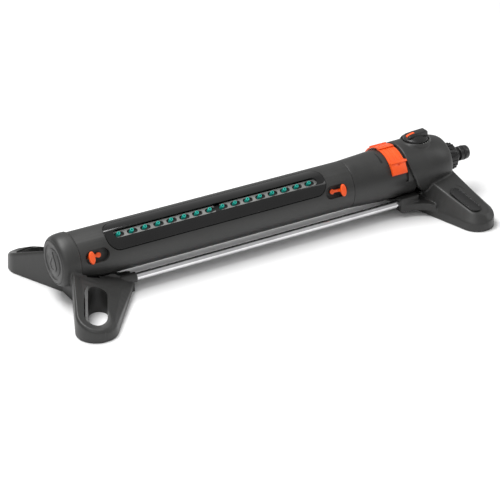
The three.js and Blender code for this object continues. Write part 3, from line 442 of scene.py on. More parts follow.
def bezier(*controls: Point2, steps: int = 10) -> list[Point2]:
    """Points along a Bezier curve of three or four control points.

    Args:
        controls: the control points; the curve starts at the first and ends at the last.
        steps: the steps along it.

    Returns:
        The curve's points.
    """
    degree = len(controls) - 1
    weights = [math.comb(degree, k) for k in range(degree + 1)]
    line = []
    for step in range(steps + 1):
        t = step / steps
        shares = [w * t**k * (1 - t) ** (degree - k) for k, w in enumerate(weights)]
        line.append(
            (
                sum(s * c[0] for s, c in zip(shares, controls)),
                sum(s * c[1] for s, c in zip(shares, controls)),
            )
        )
    return line


def sector(start: float, end: float, inner: float, outer: float, low: float, high: float) -> Solid:
    """A piece of a sleeve round the tube's axis.

    Args:
        start: its first station.
        end: its last station.
        inner: its inner radius.
        outer: its outer radius.
        low: the angle where it starts, in degrees from the top towards the front.
        high: the angle where it ends.

    Returns:
        The piece.
    """
    steps = max(2, round(abs(high - low) / 2.5))
    angles = [math.radians(90 + low + (high - low) * step / steps) for step in range(steps + 1)]
    outline = [(outer * math.cos(a), outer * math.sin(a)) for a in angles]
    outline += [(inner * math.cos(a), inner * math.sin(a)) for a in reversed(angles)]
    return along_x(outline, start, end)


# ---- Repeats ------------------------------------------------------------------------------------


@dataclass
class Repeat:
    """A node tree that sets copies of a small body in a row or round an axis."""

    name: str
    tree: bpy.types.NodeTree = field(init=False)

    def __post_init__(self) -> None:
        """Builds the tree with its named inputs."""
        tree = bpy.data.node_groups.new(self.name, "GeometryNodeTree")
        face = tree.interface
        face.new_socket("Geometry", in_out="INPUT", socket_type="NodeSocketGeometry")
        face.new_socket("Count", in_out="INPUT", socket_type="NodeSocketInt")
        face.new_socket("Pitch", in_out="INPUT", socket_type="NodeSocketVector")
        face.new_socket("Turn", in_out="INPUT", socket_type="NodeSocketFloat")
        face.new_socket("Axis", in_out="INPUT", socket_type="NodeSocketVector")
        face.new_socket("Material", in_out="INPUT", socket_type="NodeSocketMaterial")
        face.new_socket("Geometry", in_out="OUTPUT", socket_type="NodeSocketGeometry")
        node, link = tree.nodes.new, tree.links.new
        given, result = node("NodeGroupInput"), node("NodeGroupOutput")
        row, copies = node("GeometryNodeMeshLine"), node("GeometryNodeInstanceOnPoints")
        number, angle = node("GeometryNodeInputIndex"), node("ShaderNodeMath")
        turn, real = node("FunctionNodeAxisAngleToRotation"), node("GeometryNodeRealizeInstances")
        paint = node("GeometryNodeSetMaterial")
        row.mode = "OFFSET"
        angle.operation = "MULTIPLY"
        link(given.outputs["Count"], row.inputs["Count"])
        link(given.outputs["Pitch"], row.inputs["Offset"])
        link(number.outputs["Index"], angle.inputs[0])
        link(given.outputs["Turn"], angle.inputs[1])
        link(given.outputs["Axis"], turn.inputs["Axis"])
        link(angle.outputs[0], turn.inputs["Angle"])
        link(row.outputs["Mesh"], copies.inputs["Points"])
        link(given.outputs["Geometry"], copies.inputs["Instance"])
        link(turn.outputs["Rotation"], copies.inputs["Rotation"])
        link(copies.outputs["Instances"], real.inputs["Geometry"])
        link(real.outputs["Geometry"], paint.inputs["Geometry"])
        link(given.outputs["Material"], paint.inputs["Material"])
        link(paint.outputs["Geometry"], result.inputs["Geometry"])
        self.tree = tree

    def of(self, body: Solid, count: int, material: bpy.types.Material, pitch: Point3 = (0, 0, 0),
           turn: float = 0.0, axis: Point3 = (1, 0, 0)) -> Solid:
        """Repeats a body.

        Args:
            body: the first copy, in its place.
            count: how many copies there are.
            material: the finish of every copy.
            pitch: the step from one copy to the next.
            turn: the angle from one copy to the next, in radians.
            axis: what the copies turn about, through (0, 0, 0).

        Returns:
            All the copies as one body.
        """
        values = {"Count": count, "Pitch": pitch, "Turn": turn, "Axis": axis, "Material": material}

        def prepare(work: bpy.types.Object) -> None:
            """Adds the tree and fills in its inputs.

            Args:
                work: the object that holds the first copy.
            """
            step = work.modifiers.new("repeat", "NODES")
            step.node_group = self.tree
            for socket in self.tree.interface.items_tree:
                if socket.in_out == "INPUT" and socket.name in values:
                    step[socket.identifier] = values[socket.name]

        return body.evaluated(prepare)


# ---- Finishes -----------------------------------------------------------------------------------


class Wire:
    """A shader socket that takes part in Python arithmetic."""

    def __init__(self, graph: Graph, socket: bpy.types.NodeSocket | None) -> None:
        """Wraps a socket of a graph."""
        self.graph = graph
        self.socket = socket

    def _math(self, operation: str, *values: Wire | float) -> Wire:
        """Adds a Math node."""
        return self.graph.node("Math", {"operation": operation}, dict(enumerate(values)))

    def __add__(self, other: Wire | float) -> Wire:
        """self + other."""
        return self._math("ADD", self, other)

    def __sub__(self, other: Wire | float) -> Wire:
        """self - other."""
        return self._math("SUBTRACT", self, other)

    def __mul__(self, other: Wire | float) -> Wire:
        """self * other."""
        return self._math("MULTIPLY", self, other)

    def __rsub__(self, other: float) -> Wire:
        """other - self."""
        return self._math("SUBTRACT", other, self)

    __radd__ = __add__
    __rmul__ = __mul__

    def between(self, low: float, high: float, out_low: float = 0, out_high: float = 1) -> Wire:
        """Maps a range of values smoothly onto another.

        Args:
            low: the value that gives out_low.
            high: the value that gives out_high.
            out_low: the first result.
            out_high: the last result.

        Returns:
            The mapped value.
        """
        settings = {"interpolation_type": "SMOOTHSTEP"}
        sockets = {0: self, 1: low, 2: high, 3: out_low, 4: out_high}
        return self.graph.node("MapRange", settings, sockets)


class Graph:
    """The node graph of one material."""

    def __init__(self, name: str) -> None:
        """Starts an empty material.

        Args:
            name: the material's name.
        """
        self.material = bpy.data.materials.new(name)
        self.material.use_nodes = True
        self.tree = self.material.node_tree
        self.tree.nodes.clear()

    def node(self, kind: str, settings: dict | None = None, sockets: dict | None = None,
             output: int | str = 0) -> Wire:
        """Adds any shader node.

        Args:
            kind: the node's type without its ShaderNode prefix.
            settings: the node's own properties, set before its sockets.
            sockets: values or wires, by socket name or number.
            output: which output is returned.

        Returns:
            The chosen output.
        """
        made = self.tree.nodes.new("ShaderNode" + kind)
        for key, value in (settings or {}).items():
            setattr(made, key, value)
        for key, value in (sockets or {}).items():
            if isinstance(value, Wire):
                self.tree.links.new(value.socket, made.inputs[key])
            else:
                made.inputs[key].default_value = value
        return Wire(self, made.outputs[output] if made.outputs else None)

    def place(self, scale: Point3 = (1, 1, 1)) -> Wire:
        """The place on the object, stretched along its axes."""
        where = self.node("TexCoord", output="Object")
        return self.node("Mapping", {}, {"Vector": where, "Scale": scale})

    def noise(self, scale: float, detail: float = 2, stretch: Point3 = (1, 1, 1)) -> Wire:
        """A noise value about 0.5, with its scale counted per metre."""
        sockets = {"Vector": self.place(stretch), "Scale": scale, "Detail": detail}
        return self.node("TexNoise", {}, sockets)

    def mix(self, share: Wire | float, first: Colour, second: Colour) -> Wire:
        """Mixes two colours.

        Args:
            share: how much of the second there is, from 0 to 1.
            first: the colour at 0.
            second: the colour at 1.

        Returns:
            The mixed colour.
        """
        settings = {"data_type": "RGBA"}
        sockets = {0: share, 6: (*first, 1), 7: (*second, 1)}
        return self.node("Mix", settings, sockets, output=2)

    def finish(self, surface: dict) -> bpy.types.Material:
        """Closes the graph with a Principled surface.

        Args:
            surface: its socket values and wires.

        Returns:
            The finished material.
        """
        shader = self.node("BsdfPrincipled", {}, surface)
        self.node("OutputMaterial", {}, {"Surface": shader})
        return self.material


@dataclass(frozen=True)
class Moulded:
    """Moulded plastic or rubber with a fine spark-eroded grain."""

    name: str
    slot: Slot
    dark: Colour
    light: Colour
    roughness: tuple[float, float] = (0.38, 0.52)
    grain: float = 2600.0
    depth: float = 0.05
    coat: float = 0.0
    specular: float = 0.5

    def made(self) -> bpy.types.Material:
        """Builds the material.

        Returns:
            The finished material.
        """
        graph = Graph(self.name)
        drift = graph.noise(24, 3)
        speckle = graph.noise(900, 4)
        scuff = graph.noise(70, 5, (0.25, 1, 1)).between(0.62, 0.74)
        tone = drift.between(0.32, 0.68) * 0.55 + speckle.between(0.35, 0.7) * 0.45
        rough_low, rough_high = self.roughness
        rough = drift.between(0.3, 0.7, rough_low, rough_high) + scuff * 0.06
        height = graph.noise(self.grain, 2) + speckle * 0.5
        relief = {"Strength": self.depth, "Distance": 0.0002, "Height": height}
        bump = graph.node("Bump", {}, relief)
        return graph.finish(
            {
                "Base Color": graph.mix(tone, self.dark, self.light),
                "Roughness": rough,
                "Normal": bump,
                "Coat Weight": self.coat,
                "Coat Roughness": 0.08,
                "Specular IOR Level": self.specular,
            }
        )


@dataclass(frozen=True)
class Metal:
    """Drawn or turned metal with fine lines along the piece."""

    name: str
    slot: Slot
    dark: Colour
    light: Colour
    roughness: tuple[float, float] = (0.08, 0.2)
    lines: Point3 = (0.02, 1, 1)

    def made(self) -> bpy.types.Material:
        """Builds the material.

        Returns:
            The finished material.
        """
        graph = Graph(self.name)
        streak = graph.noise(1400, 3, self.lines)
        haze = graph.noise(35, 3)
        low, high = self.roughness
        rough = haze.between(0.35, 0.7, low, high) + streak * 0.05
        bump = graph.node("Bump", {}, {"Strength": 0.06, "Distance": 0.0001, "Height": streak})
        return graph.finish(
            {
                "Base Color": graph.mix(haze.between(0.3, 0.7), self.dark, self.light),
                "Metallic": 1.0,
                "Roughness": rough,
                "Normal": bump,
            }
        )


FINISHES: tuple[Moulded | Metal, ...] = (
    Moulded("charcoal plastic", Slot.CHARCOAL, (0.017, 0.017, 0.0165), (0.026, 0.026, 0.025)),
    Moulded("black plastic", Slot.BLACK, (0.005, 0.005, 0.005), (0.009, 0.009, 0.009),
            (0.22, 0.32)),
    Moulded("gloss trim", Slot.GLOSS, (0.004, 0.004, 0.004), (0.008, 0.008, 0.008), (0.07, 0.12),
            depth=0.01, coat=0.25, specular=0.4),
    Moulded("orange plastic", Slot.ORANGE, (0.8, 0.075, 0.006), (0.92, 0.11, 0.012), (0.34, 0.46)),
    Moulded("teal rubber", Slot.TEAL, (0.0, 0.29, 0.235), (0.01, 0.42, 0.34), (0.5, 0.62)),
    Moulded("grey plastic", Slot.GREY, (0.17, 0.175, 0.17), (0.27, 0.275, 0.265), (0.4, 0.52)),
    Moulded("natural plastic", Slot.NATURAL, (0.62, 0.58, 0.5), (0.74, 0.7, 0.62), (0.34, 0.46)),
    Moulded("seal rubber", Slot.SEAL, (0.008, 0.008, 0.008), (0.016, 0.016, 0.016), (0.6, 0.75)),
    Metal("polished tube", Slot.TUBE, (0.66, 0.66, 0.67), (0.8, 0.8, 0.81), (0.04, 0.1)),
    Metal("screw steel", Slot.STEEL, (0.5, 0.5, 0.51), (0.62, 0.62, 0.63), (0.22, 0.34), (1, 1, 1)),
)


class Paintbox:
    """Every finish of the sprinkler, made once."""

    def __init__(self) -> None:
        """Builds all materials."""
        self.of = {finish.slot: finish.made() for finish in FINISHES}

    def dress_frame(self) -> None:
        """Gives each node that stays in view the finish of its own slot."""
        slots = {part["node"]: part["material_slot"] for part in frame["record"]["subparts"]}
        for name, node in frame["nodes"].items():
            node.data.materials.clear()
            node.data.materials.append(self.of[Slot(slots[name])])


@dataclass
class Bench:
    """Turns finished solids into pieces of the frame."""

    paints: Paintbox
    repeat: Repeat

    def piece(self, name: str, body: Solid, slot: Slot, rides: str, stands_for: Sequence[str] = (),
              crease: float = 32) -> bpy.types.Object:
        """Sets a finished solid into the frame.

        Args:
            name: the piece's name.
            body: its shape.
            slot: its finish.
            rides: the body that it moves with.
            stands_for: the nodes that it replaces.
            crease: edges that turn by more degrees stay sharp in the shading.

        Returns:
            The new object.
        """
        mesh = body.mesh
        mesh.name = name
        mesh.transform(Matrix.Translation((-ORIGIN_STATION, 0, AXIS_HEIGHT)))
        mesh.transform(Matrix.Scale(MM, 4))
        mesh.materials.clear()
        mesh.materials.append(self.paints.of[slot])
        for face in mesh.polygons:
            face.use_smooth = True
            face.material_index = 0
        mesh.set_sharp_from_angle(angle=math.radians(crease))
        made = bpy.data.objects.new(name, mesh)
        bpy.context.scene.collection.objects.link(made)
        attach(made, rides)
        if stands_for:
            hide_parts(*stands_for)
        log.info("%s: %d faces, rides on %s", name, len(mesh.polygons), rides)
        return made


# ---- Feet ---------------------------------------------------------------------------------------


@dataclass(frozen=True)
class Rail:
    """One edge line of a leg: straight from its root to the round tip, then round to its end."""

    side: int
    root: Point2
    shrink: float
    heights: Point2 | None = None
    crown: float = 0.0


@dataclass(frozen=True)
class Leg:
    """A front leg that splays from the tube's axis to a round tip."""

    tip_x: float
    tip_radius: float
    rails: tuple[Rail, ...]
    spread: float = 110.0
    straight_steps: int = 10
    tip_steps: int = 16
    opening: float = 0.05

    def line(self, rail: Rail, inset: float) -> list[Point3]:
        """The points of one rail.

        Args:
            rail: the edge line.
            inset: how far it is drawn in, for the space under the leg.

        Returns:
            Its points from root to tip.
        """
        tip_y = self.tip_radius - self.spread
        radius = self.tip_radius - rail.shrink - inset
        x0, y0 = rail.root[0] - rail.side * inset, rail.root[1] - inset
        away = math.atan2(y0 - tip_y, x0 - self.tip_x)
        reach = math.hypot(x0 - self.tip_x, y0 - tip_y)
        start = away - rail.side * math.acos(radius / reach)
        end = (-0.5 if rail.side > 0 else 1.5) * math.pi + rail.side * self.opening
        contact = (self.tip_x + radius * math.cos(start), tip_y + radius * math.sin(start))
        plan = []
        for step in range(self.straight_steps):
            t = step / self.straight_steps
            plan.append((x0 + (contact[0] - x0) * t, y0 + (contact[1] - y0) * t))
        for step in range(self.tip_steps + 1):
            angle = start + (end - start) * step / self.tip_steps
            plan.append((self.tip_x + radius * math.cos(angle), tip_y + radius * math.sin(angle)))
        first, last = rail.heights or (GROUND, GROUND)
        line = []
        for x, y in plan:
            run = (y - y0) / (tip_y - radius - y0)
            z = first - inset + (last - first) * run + rail.crown * 4 * run * (1 - run)
            line.append((x, y, z))
        return line

    def body(self, inset: float = 0.0) -> Solid:
        """The leg itself, or the space under it.

        Args:
            inset: 0 for the leg, or the wall's thickness for the space.

        Returns:
            The body.
        """
        rails = self.rails
        if inset > 0:
            rails = (*rails[:1], *rails[2:-2], *rails[-1:])
        lines = [self.line(rail, inset) for rail in rails]
        count, length = len(lines), len(lines[0])
        points = [line[section] for section in range(length) for line in lines]
        faces = []
        for section in range(length - 1):
            here, there = section * count, (section + 1) * count
            for corner in range(count):
                after = (corner + 1) % count
                faces.append((here + corner, here + after, there + after, there + corner))
        end = (length - 1) * count
        fan = 2 if inset == 0 else 1
        for turn in range(1, count - 1):
            one, two = (fan + turn) % count, (fan + turn + 1) % count
            faces.append((fan, two, one))
            faces.append((end + fan, end + one, end + two))
        return Solid.made(points, faces)


@dataclass(frozen=True)
class Seat:
    """A place on a leg's top: its centre, its fall towards the tip and its turn in plan."""

    centre: Point3
    fall: float
    yaw: float

    def set(self, body: Solid, level: bool = False) -> Solid:
        """Puts a body that was made flat round (0, 0, 0) on the leg."""
        fall = 0 if level else math.radians(self.fall)
        return body.turned(fall).turned(math.radians(self.yaw), "Z").moved(*self.centre)


@dataclass
class LeftFoot:
    """The foot with the ring round the tube's capped end and a long slot in each leg."""

    bench: Bench
    edge: float = 14.5
    depth: float = 87.0
    cap_radius: float = 24.6
    ring_length: float = 20.0
    rod: Point2 = ROD
    slot: Seat = Seat((16.5, -72.0, -22.5), 21.0, -27.0)
    slot_size: Point2 = (21.0, 54.0)
    rim: float = 4.0
    tube_room: float = 30.3
    lever_sweep: float = 34.3
    lever_room: float = 37.1
    boss: float = 5.8

    def leg(self) -> Leg:
        """The front leg's edge lines.

        Returns:
            The leg.
        """
        edge, depth = self.edge, self.depth
        return Leg(7.5, 23.5, (
            Rail(-1, (edge, -12), 0),
            Rail(-1, (edge + 0.5, -12), 0.8, (1, -36)),
            Rail(-1, (edge + 2, -12), 3, (6, -33)),
            Rail(-1, (edge + 8, -12), 13, (0, -31)),
            Rail(1, (depth - 41, -20), 9, (-19, -31.5), 5),
            Rail(1, (depth - 15, -26), 4, (-28, -33), 3),
            Rail(1, (depth - 2, -26), 0.8, (-34, -36.5)),
            Rail(1, (depth - 5, -26), 0),
        ))

    def shell(self) -> Solid:
        """The moulded foot with its soft edges.

        Returns:
            The foot with its hollows, slots and bores.
        """
        end = self.depth - 3
        curve = bezier((end, -15), (end - 30, 0), (end, 15), steps=12)
        middle = prism([(self.edge, -15), (end, -28), *curve, (end, 28), (self.edge, 15)],
                       GROUND, -27)
        radius = self.cap_radius + 1
        collar = lathe([(0, 0), (0, radius), (0.5, 26.2), (1.2, 26.9), (2.6, 27.9), (4.5, 28.8),
                        (8, 29.6), (12, 30), (self.ring_length, 30), (self.ring_length, 0)])
        boss = disc(self.depth - 19, self.depth, self.boss).moved(0, *self.rod)
        width, length = self.slot_size
        hole = self.slot.set(prism(rounded(width, length, width), -40, 30), level=True)
        wall = rounded(width + 2 * WALL, length + 2 * WALL, 40)
        tube = self.slot.set(prism(wall, -30, 20), level=True)
        rim = rounded(width + 2 * self.rim, length + 2 * self.rim, 40)
        dish = self.slot.set(prism(rim, 0, 20))
        swept = disc(-9, 45, self.lever_room)
        space = self.leg().body(WALL).moulded(ROOM_GRID, 0).minus(tube, swept)
        space = space.moulded(CUT_ROOM_GRID, 0)
        under = prism([(self.edge + WALL, -12), (57, -20), (57, 20), (self.edge + WALL, 12)],
                      GROUND - 1, GROUND + 13.5)
        bore = lathe([(-1, 0), (-1, 24.95), (4, 24.95), (4, 11.95), (21, 11.95), (21, 0)])
        channel = disc(self.ring_length + GAP, self.depth + 10, self.tube_room, 96)
        sweep = disc(24.6, 41.6, self.lever_sweep, 96)
        rod_bore = disc(self.depth - 16, self.depth + 1, ROD_BORE).moved(0, *self.rod)
        floor = box((-40, -130, GROUND - 20), (120, 130, GROUND))
        skin = collar.beside(self.leg().body().both_sides(), middle).moulded(SKIN_GRID, 5)
        skin = skin.minus(space, space.mirrored(), under).plus(boss, boss.mirrored())
        cuts = (bore, channel, sweep, rod_bore, rod_bore.mirrored(), hole, hole.mirrored(),
                dish, dish.mirrored(), floor)
        return skin.minus(*cuts)

    def build(self) -> None:
        """Makes the foot, and the cap in its ring."""
        self.bench.piece("left_foot_shell", self.shell(), Slot.CHARCOAL, "base", ["left_foot"])
        edge = self.cap_radius
        plate = lathe([(-0.8, 0), (-0.8, 15.2), (-0.5, 15.8), (0.1, 16.1), (0.2, 16.6), (0.2, 19.3),
                       (0, 19.8), (-0.6, 20.1), (-0.8, 20.6), (-0.8, 22.8), (-0.4, 23.8),
                       (0.4, edge), (3.65, edge), (3.65, 0)], ROUND_STEPS)
        half = bezier((0, 13), (3, 6), (8.5, 2), (8.5, -3.5), steps=14)
        bottom = [(8.5 * math.cos(a), -3.5 + 8.5 * math.sin(a))
                  for a in (-math.pi * k / 20 for k in range(1, 20))]
        drop = [*half, *bottom, *[(-y, z) for y, z in reversed(half[1:])]]
        emblem = along_x(drop, -1.5, 0.5).bevelled(0.35, 3)
        inner = [(y * 0.62, z * 0.62 - 1.2) for y, z in drop]
        emblem = emblem.minus(along_x(inner, -2, -1.1))
        self.bench.piece("left_cap_plate", plate, Slot.CHARCOAL, "base", ["left_end_cap"])
        self.bench.piece("left_cap_drop", emblem, Slot.CHARCOAL, "base")


@dataclass
class Rods:
    """The two bright tubes that join the feet."""

    bench: Bench
    start: float = 71.35
    end: float = 453.6
    radius: float = 4.5
    wall: float = 0.8

    def build(self) -> None:
        """Makes both rods."""
        rod = ring(self.start, self.end, self.radius - self.wall, self.radius, 64)
        y, z = ROD
        for name, side in (("front", y), ("rear", -y)):
            self.bench.piece(f"rod_{name}", rod.moved(0, side, z), Slot.TUBE, "base",
                             [f"support_rod_{name}"])


@dataclass
class RightFoot:
    """The foot that carries the valve housing, the knob's dish and the two badges."""

    bench: Bench
    mouth: float = MOUTH
    partition: float = 461.45
    end: float = 520.1
    radius: float = 35.3
    tip_x: float = 506.5
    knob_x: float = KNOB_X
    ear: tuple[float, float, float] = (437.6, 463.6, 8.5)
    rod: Point2 = ROD
    badge: Seat = Seat((500.0, -74.0, -19.5), 15.7, 12.0)
    badge_size: Point2 = (16.0, 46.0)
    rod_stop: float = 453.95
    seat_radius: float = 18.2
    dish_radius: float = 16.6
    shaft_radius: float = 8.0
    spigot_radius: float = 13.0
    bore_radius: float = 11.85
    marks: int = 9
    mark_turn: float = math.radians(11.25)

    def edges(self) -> Point2:
        """The stations of the leg's inner and outer edges."""
        return self.tip_x - 40, self.tip_x + 12

    def leg(self) -> Leg:
        """The front leg's edge lines.

        Returns:
            The leg.
        """
        inner, outer = self.edges()
        return Leg(self.tip_x, 21.5, (
            Rail(1, (outer, -12), 0),
            Rail(1, (outer - 0.5, -12), 0.8, (-8, -35.5)),
            Rail(1, (outer - 4, -12), 8, (-1, -28.5)),
            Rail(1, (self.tip_x - 13, -12), 15, (-1, -27.5)),
            Rail(-1, (inner + 12, -18), 9, (-6, -27.5), -1),
            Rail(-1, (inner - 0.5, -20), 0.8, (-36.5, -37.5)),
            Rail(-1, (inner - 1, -20), 0),
        ))

    def dome(self) -> Solid:
        """The housing with its slanting mouth.

        Returns:
            The solid housing.
        """
        mouth, end, r = self.mouth, self.end, self.radius
        body = lathe([(mouth - 12, 0), (mouth - 12, r - 0.3), (mouth + 28, r + 0.2),
                      (end - 30, r - 0.7), (end - 24, r - 1.4), (end - 18, r - 2.6),
                      (end - 13, r - 4), (end - 10, r - 5.1), (end - 8, r - 6.2),
                      (end - 6.4, r - 7.5), (end - 5.2, r - 9), (end - 3.4, r - 11.8),
                      (end - 1.6, r - 15), (end - 0.4, r - 19), (end, 0)], ROUND_STEPS)
        top = mouth + 1
        edge = bezier((top, r - 12), (mouth + 4, 8), (mouth + 9, 0), steps=8)
        foot = bezier((mouth + 9, 0), (mouth + 13, -14), (mouth + 26, -22), steps=8)
        opening = [(mouth - 40, 50), (top, 50), *edge, *foot[1:], (mouth + 26, -25),
                   (mouth - 40, -25)]
        return body.minus(across(opening, 60))

    def shell(self) -> Solid:
        """The moulded foot and housing with their soft edges.

        Returns:
            The foot with its chamber, hollows and bores.
        """
        start, stop, ear_radius = self.ear
        y, z = self.rod
        inner, outer = self.edges()
        ear = disc(start, stop, ear_radius).moved(0, y, z).beside(
            box((start, y - ear_radius, z), (stop, -14, -22)))
        front = bezier((start, y - ear_radius), (inner - 4.5, -34), (inner + 7.5, -52), steps=14)
        plan = [(start, -14), *front, (inner + 9.5, -14)]
        shoulder = prism(plan, z - ear_radius, -30)
        middle = box((inner + 14, -14, GROUND), (outer, 14, -20))
        seat = post(self.knob_x, 0, 20, self.radius + 0.6, self.seat_radius, 96)
        spigot = disc(self.end - 6, self.end + 5.5, self.spigot_radius)
        skin = self.dome().beside(self.leg().body().both_sides(), ear.both_sides(), middle, seat,
                                  shoulder.both_sides(), spigot).moulded(SKIN_GRID, 9)
        hull = self.radius - WALL
        room = self.partition + WALL
        chamber = lathe([(room, 0), (room, hull), (self.end - 24, hull - 1.4),
                         (self.end - 9, hull - 6.2), (self.end - 3.8, hull - 15),
                         (self.end - 3.8, 0)])
        space = self.leg().body(WALL).moulded(ROOM_GRID, 0)
        below = box((room, -11, GROUND - 1), (outer - 16, 11, 0))
        socket = disc(self.mouth - 30, self.partition, hull, 96)
        width, length = self.badge_size
        recess = self.badge.set(prism(rounded(width + 10, length + 12, 40), 0, 12))
        pocket = self.badge.set(prism(rounded(width + 0.7, length + 0.7, 40), -1.2, 2))
        rod_bore = disc(start - 4, self.rod_stop, ROD_BORE).moved(0, y, z)
        bore = disc(self.partition - 1, self.end + 6.5, self.bore_radius)
        dish = post(self.knob_x, 0, self.radius - 1.4, 60, self.dish_radius, 96)
        shaft = post(self.knob_x, 0, 0, 60, self.shaft_radius)
        floor = box((380, -150, GROUND - 20), (620, 150, GROUND))
        cuts = (chamber.minus(post(self.knob_x, 0, 0, 60, 11)), space, space.mirrored(), below,
                socket, rod_bore, rod_bore.mirrored(), bore, dish, shaft, recess,
                recess.mirrored(), pocket, pocket.mirrored(), floor)
        return skin.minus(*cuts)

    def build(self) -> None:
        """Makes the foot, the dial marks round the knob and the badges."""
        self.bench.piece("right_foot_shell", self.shell(), Slot.CHARCOAL, "base", ["right_foot"])
        width, length = self.badge_size
        face = prism(rounded(width - 2.6, length - 2.6, 40), 0.3, 2)
        plate = prism(rounded(width, length, 40), -0.85, 0.7).minus(face).bevelled(0.25, 3)
        plate = self.badge.set(plate)
        self.bench.piece("badge_plate_front", plate, Slot.BLACK, "base", ["badge_front"])
        self.bench.piece("badge_plate_rear", plate.mirrored(), Slot.BLACK, "base", ["badge_rear"])
        mark = box((-0.35, -18.0, self.radius + 0.3), (0.35, -17.0, self.radius + 0.85))
        material = self.bench.paints.of[Slot.GREY]
        row = self.bench.repeat.of(mark, self.marks, material, turn=self.mark_turn, axis=(0, 0, 1))
        self.bench.piece("dial_marks", row.moved(self.knob_x, 0, 0), Slot.GREY, "base")


@dataclass
class Gearbox:
    """The fixed drum that holds the drive, and the two range sliders on its track."""

    bench: Bench
    start: float = 374.1
    end: float = 461.1
    mouth: float = MOUTH
    track: float = 31.35
    slider_x: float = 425.1
    slider_width: float = 21.0
    layer: float = 1.2
    height: float = 4.6
    mark_x: float = 417.6
    mark_radius: float = 31.12
    mark_steps: int = 16

    def shell(self) -> Solid:
        """The drum's wall with the groove of the slider track.

        Returns:
            The wall.
        """
        a = self.start
        wall = lathe([(a, 26), (a, 28.1), (a + 0.4, 28.5), (a + 8, 29), (a + 17, 29.5),
                      (a + 31, 30.2), (a + 40, 30.7), (a + 47, 31), (self.end, 31),
                      (self.end, 26)], ROUND_STEPS)
        groove = sector(self.mouth - 2.4, self.mouth + 0.9, 28.4, 40, -91.7, 91.7)
        return wall.minus(groove)

    def mark(self) -> Solid:
        """The slim raised wedge that shows how far the sliders reach.

        Returns:
            The wedge, wider with every step towards the front.
        """
        centre, radius, sink = self.mark_x, self.mark_radius, 0.985
        lines = [[], []]
        for step in range(self.mark_steps + 1):
            share = step / self.mark_steps
            angle = math.radians(90 + 4 + 31 * share)
            half = 0.25 + 0.95 * share
            for line, x in zip(lines, (centre - half, centre + half)):
                line.append((x, radius * math.cos(angle), radius * math.sin(angle)))
        points = [*lines[0], *lines[1]]
        points += [(x, y * sink, z * sink) for x, y, z in points]
        a, b, c, d = (corner * (self.mark_steps + 1) for corner in range(4))
        faces = []
        for i in range(self.mark_steps):
            faces.append((a + i, a + i + 1, b + i + 1, b + i))
            faces.append((c + i, d + i, d + i + 1, c + i + 1))
            faces.append((a + i, c + i, c + i + 1, a + i + 1))
            faces.append((b + i, b + i + 1, d + i + 1, d + i))
        last = self.mark_steps
        faces += [(a, b, d, c), (a + last, c + last, d + last, b + last)]
        return Solid.made(points, faces)

    def slider(self, front: bool) -> Solid:
        """One range slider.

        Args:
            front: whether it is the front one, whose band lies under the rear one's.

        Returns:
            The slider, drawn at the front.
        """
        layer = self.track + (0 if front else self.layer + GAP)
        x0, x1 = self.slider_x, self.slider_x + self.slider_width
        tail, at = (-8, 45) if front else (0, 33)
        top = self.track + self.height
        band = sector(x0, x1, layer, layer + self.layer, tail, at + 25)
        ridge = sector(x0, x1 + 1.5, layer, top, at - 2, at + 2)
        plate = sector(x0, x1 - 1, layer, top - 1.2, at, at + 23.3)
        hook = sector(x1 + GAP, x1 + 1.5, self.track - 2.2, layer + 1, at - 5.7, at + 5.7)
        middle = (x0 + x1) / 2
        lines = [sector(middle + s - 0.35, middle + s + 0.35, layer + 0.8, layer + 3,
                        tail + 5.7, at - 5.7) for s in (-1.6, 1.6, -7.4, 7.4)]
        notch = sector(middle - 1.4, middle + 1.4, top - 2.2, top + 1, at + 3.5, at + 7)
        return band.plus(ridge, plate, hook).minus(*lines, notch).bevelled(0.3, 2)

    def build(self) -> None:
        """Makes the shell, its mark and both sliders."""
        self.bench.piece("gear_drum", self.shell().bevelled(0.3, 2), Slot.CHARCOAL, "base",
                         ["gearbox_shell"])
        self.bench.piece("range_mark", self.mark(), Slot.BLACK, "base")
        for name, body in (("front", self.slider(True)), ("rear", self.slider(False).mirrored())):
            self.bench.piece(f"slider_{name}", body, Slot.ORANGE, f"range_slider_{name}",
                             [f"range_slider_{name}"])


@dataclass
class FlowKnob:
    """The knob with its fin and bright pointer."""

    bench: Bench
    x: float = KNOB_X
    base: float = 34.25
    radius: float = 15.0
    length: float = 30.0
    height: float = 10.2
    width: float = 10.6

    def build(self) -> None:
        """Makes the knob with the slot that holds its stripe."""
        half = self.length / 2
        low, high = self.base + 3.4, self.base + self.height
        nose = bezier((-half + 2.5, low + 3.8), (-half + 5, high - 1.2), (-half + 13, high - 0.6))
        fin = across([(-half + 1.5, low), *nose, (half - 1, high), (half, low)], self.width / 2)
        upright = Matrix.Rotation(-math.pi / 2, 4, "Y")
        r = self.radius
        skirt = [(self.base, 0), (self.base, r), (low - 0.6, r), (low + 0.2, r - 0.4),
                 (low + 0.9, r - 1.6), (low + 1.7, r - 4), (low + 2.8, r - 7), (low + 4.2, r - 9.6),
                 (low + 5.2, 4.0), (low + 5.2, 0)]
        dial = lathe(skirt, 96).placed(upright)
        lines = bezier((-half + 4.4, low + 3.2), (-half + 6.4, high - 2.6),
                       (-half + 13.5, high - 2))
        under = across([(-half + 3.6, low - 3), *lines, (half, high - 2), (half, low - 3)], 10)
        slot = box((-half - 1, -1.95, low + 2.2), (-half + 13, 1.95, 60)).minus(under)
        socket = post(0, 0, self.base - 1, self.base + 3, 3.3)
        knob = dial.plus(fin.bevelled(0.9, 3)).minus(slot, socket).bevelled(0.35, 2)
        self.bench.piece("knob_body", knob.moved(self.x, 0, 0), Slot.BLACK, "flow_valve",
                         ["flow_knob"])


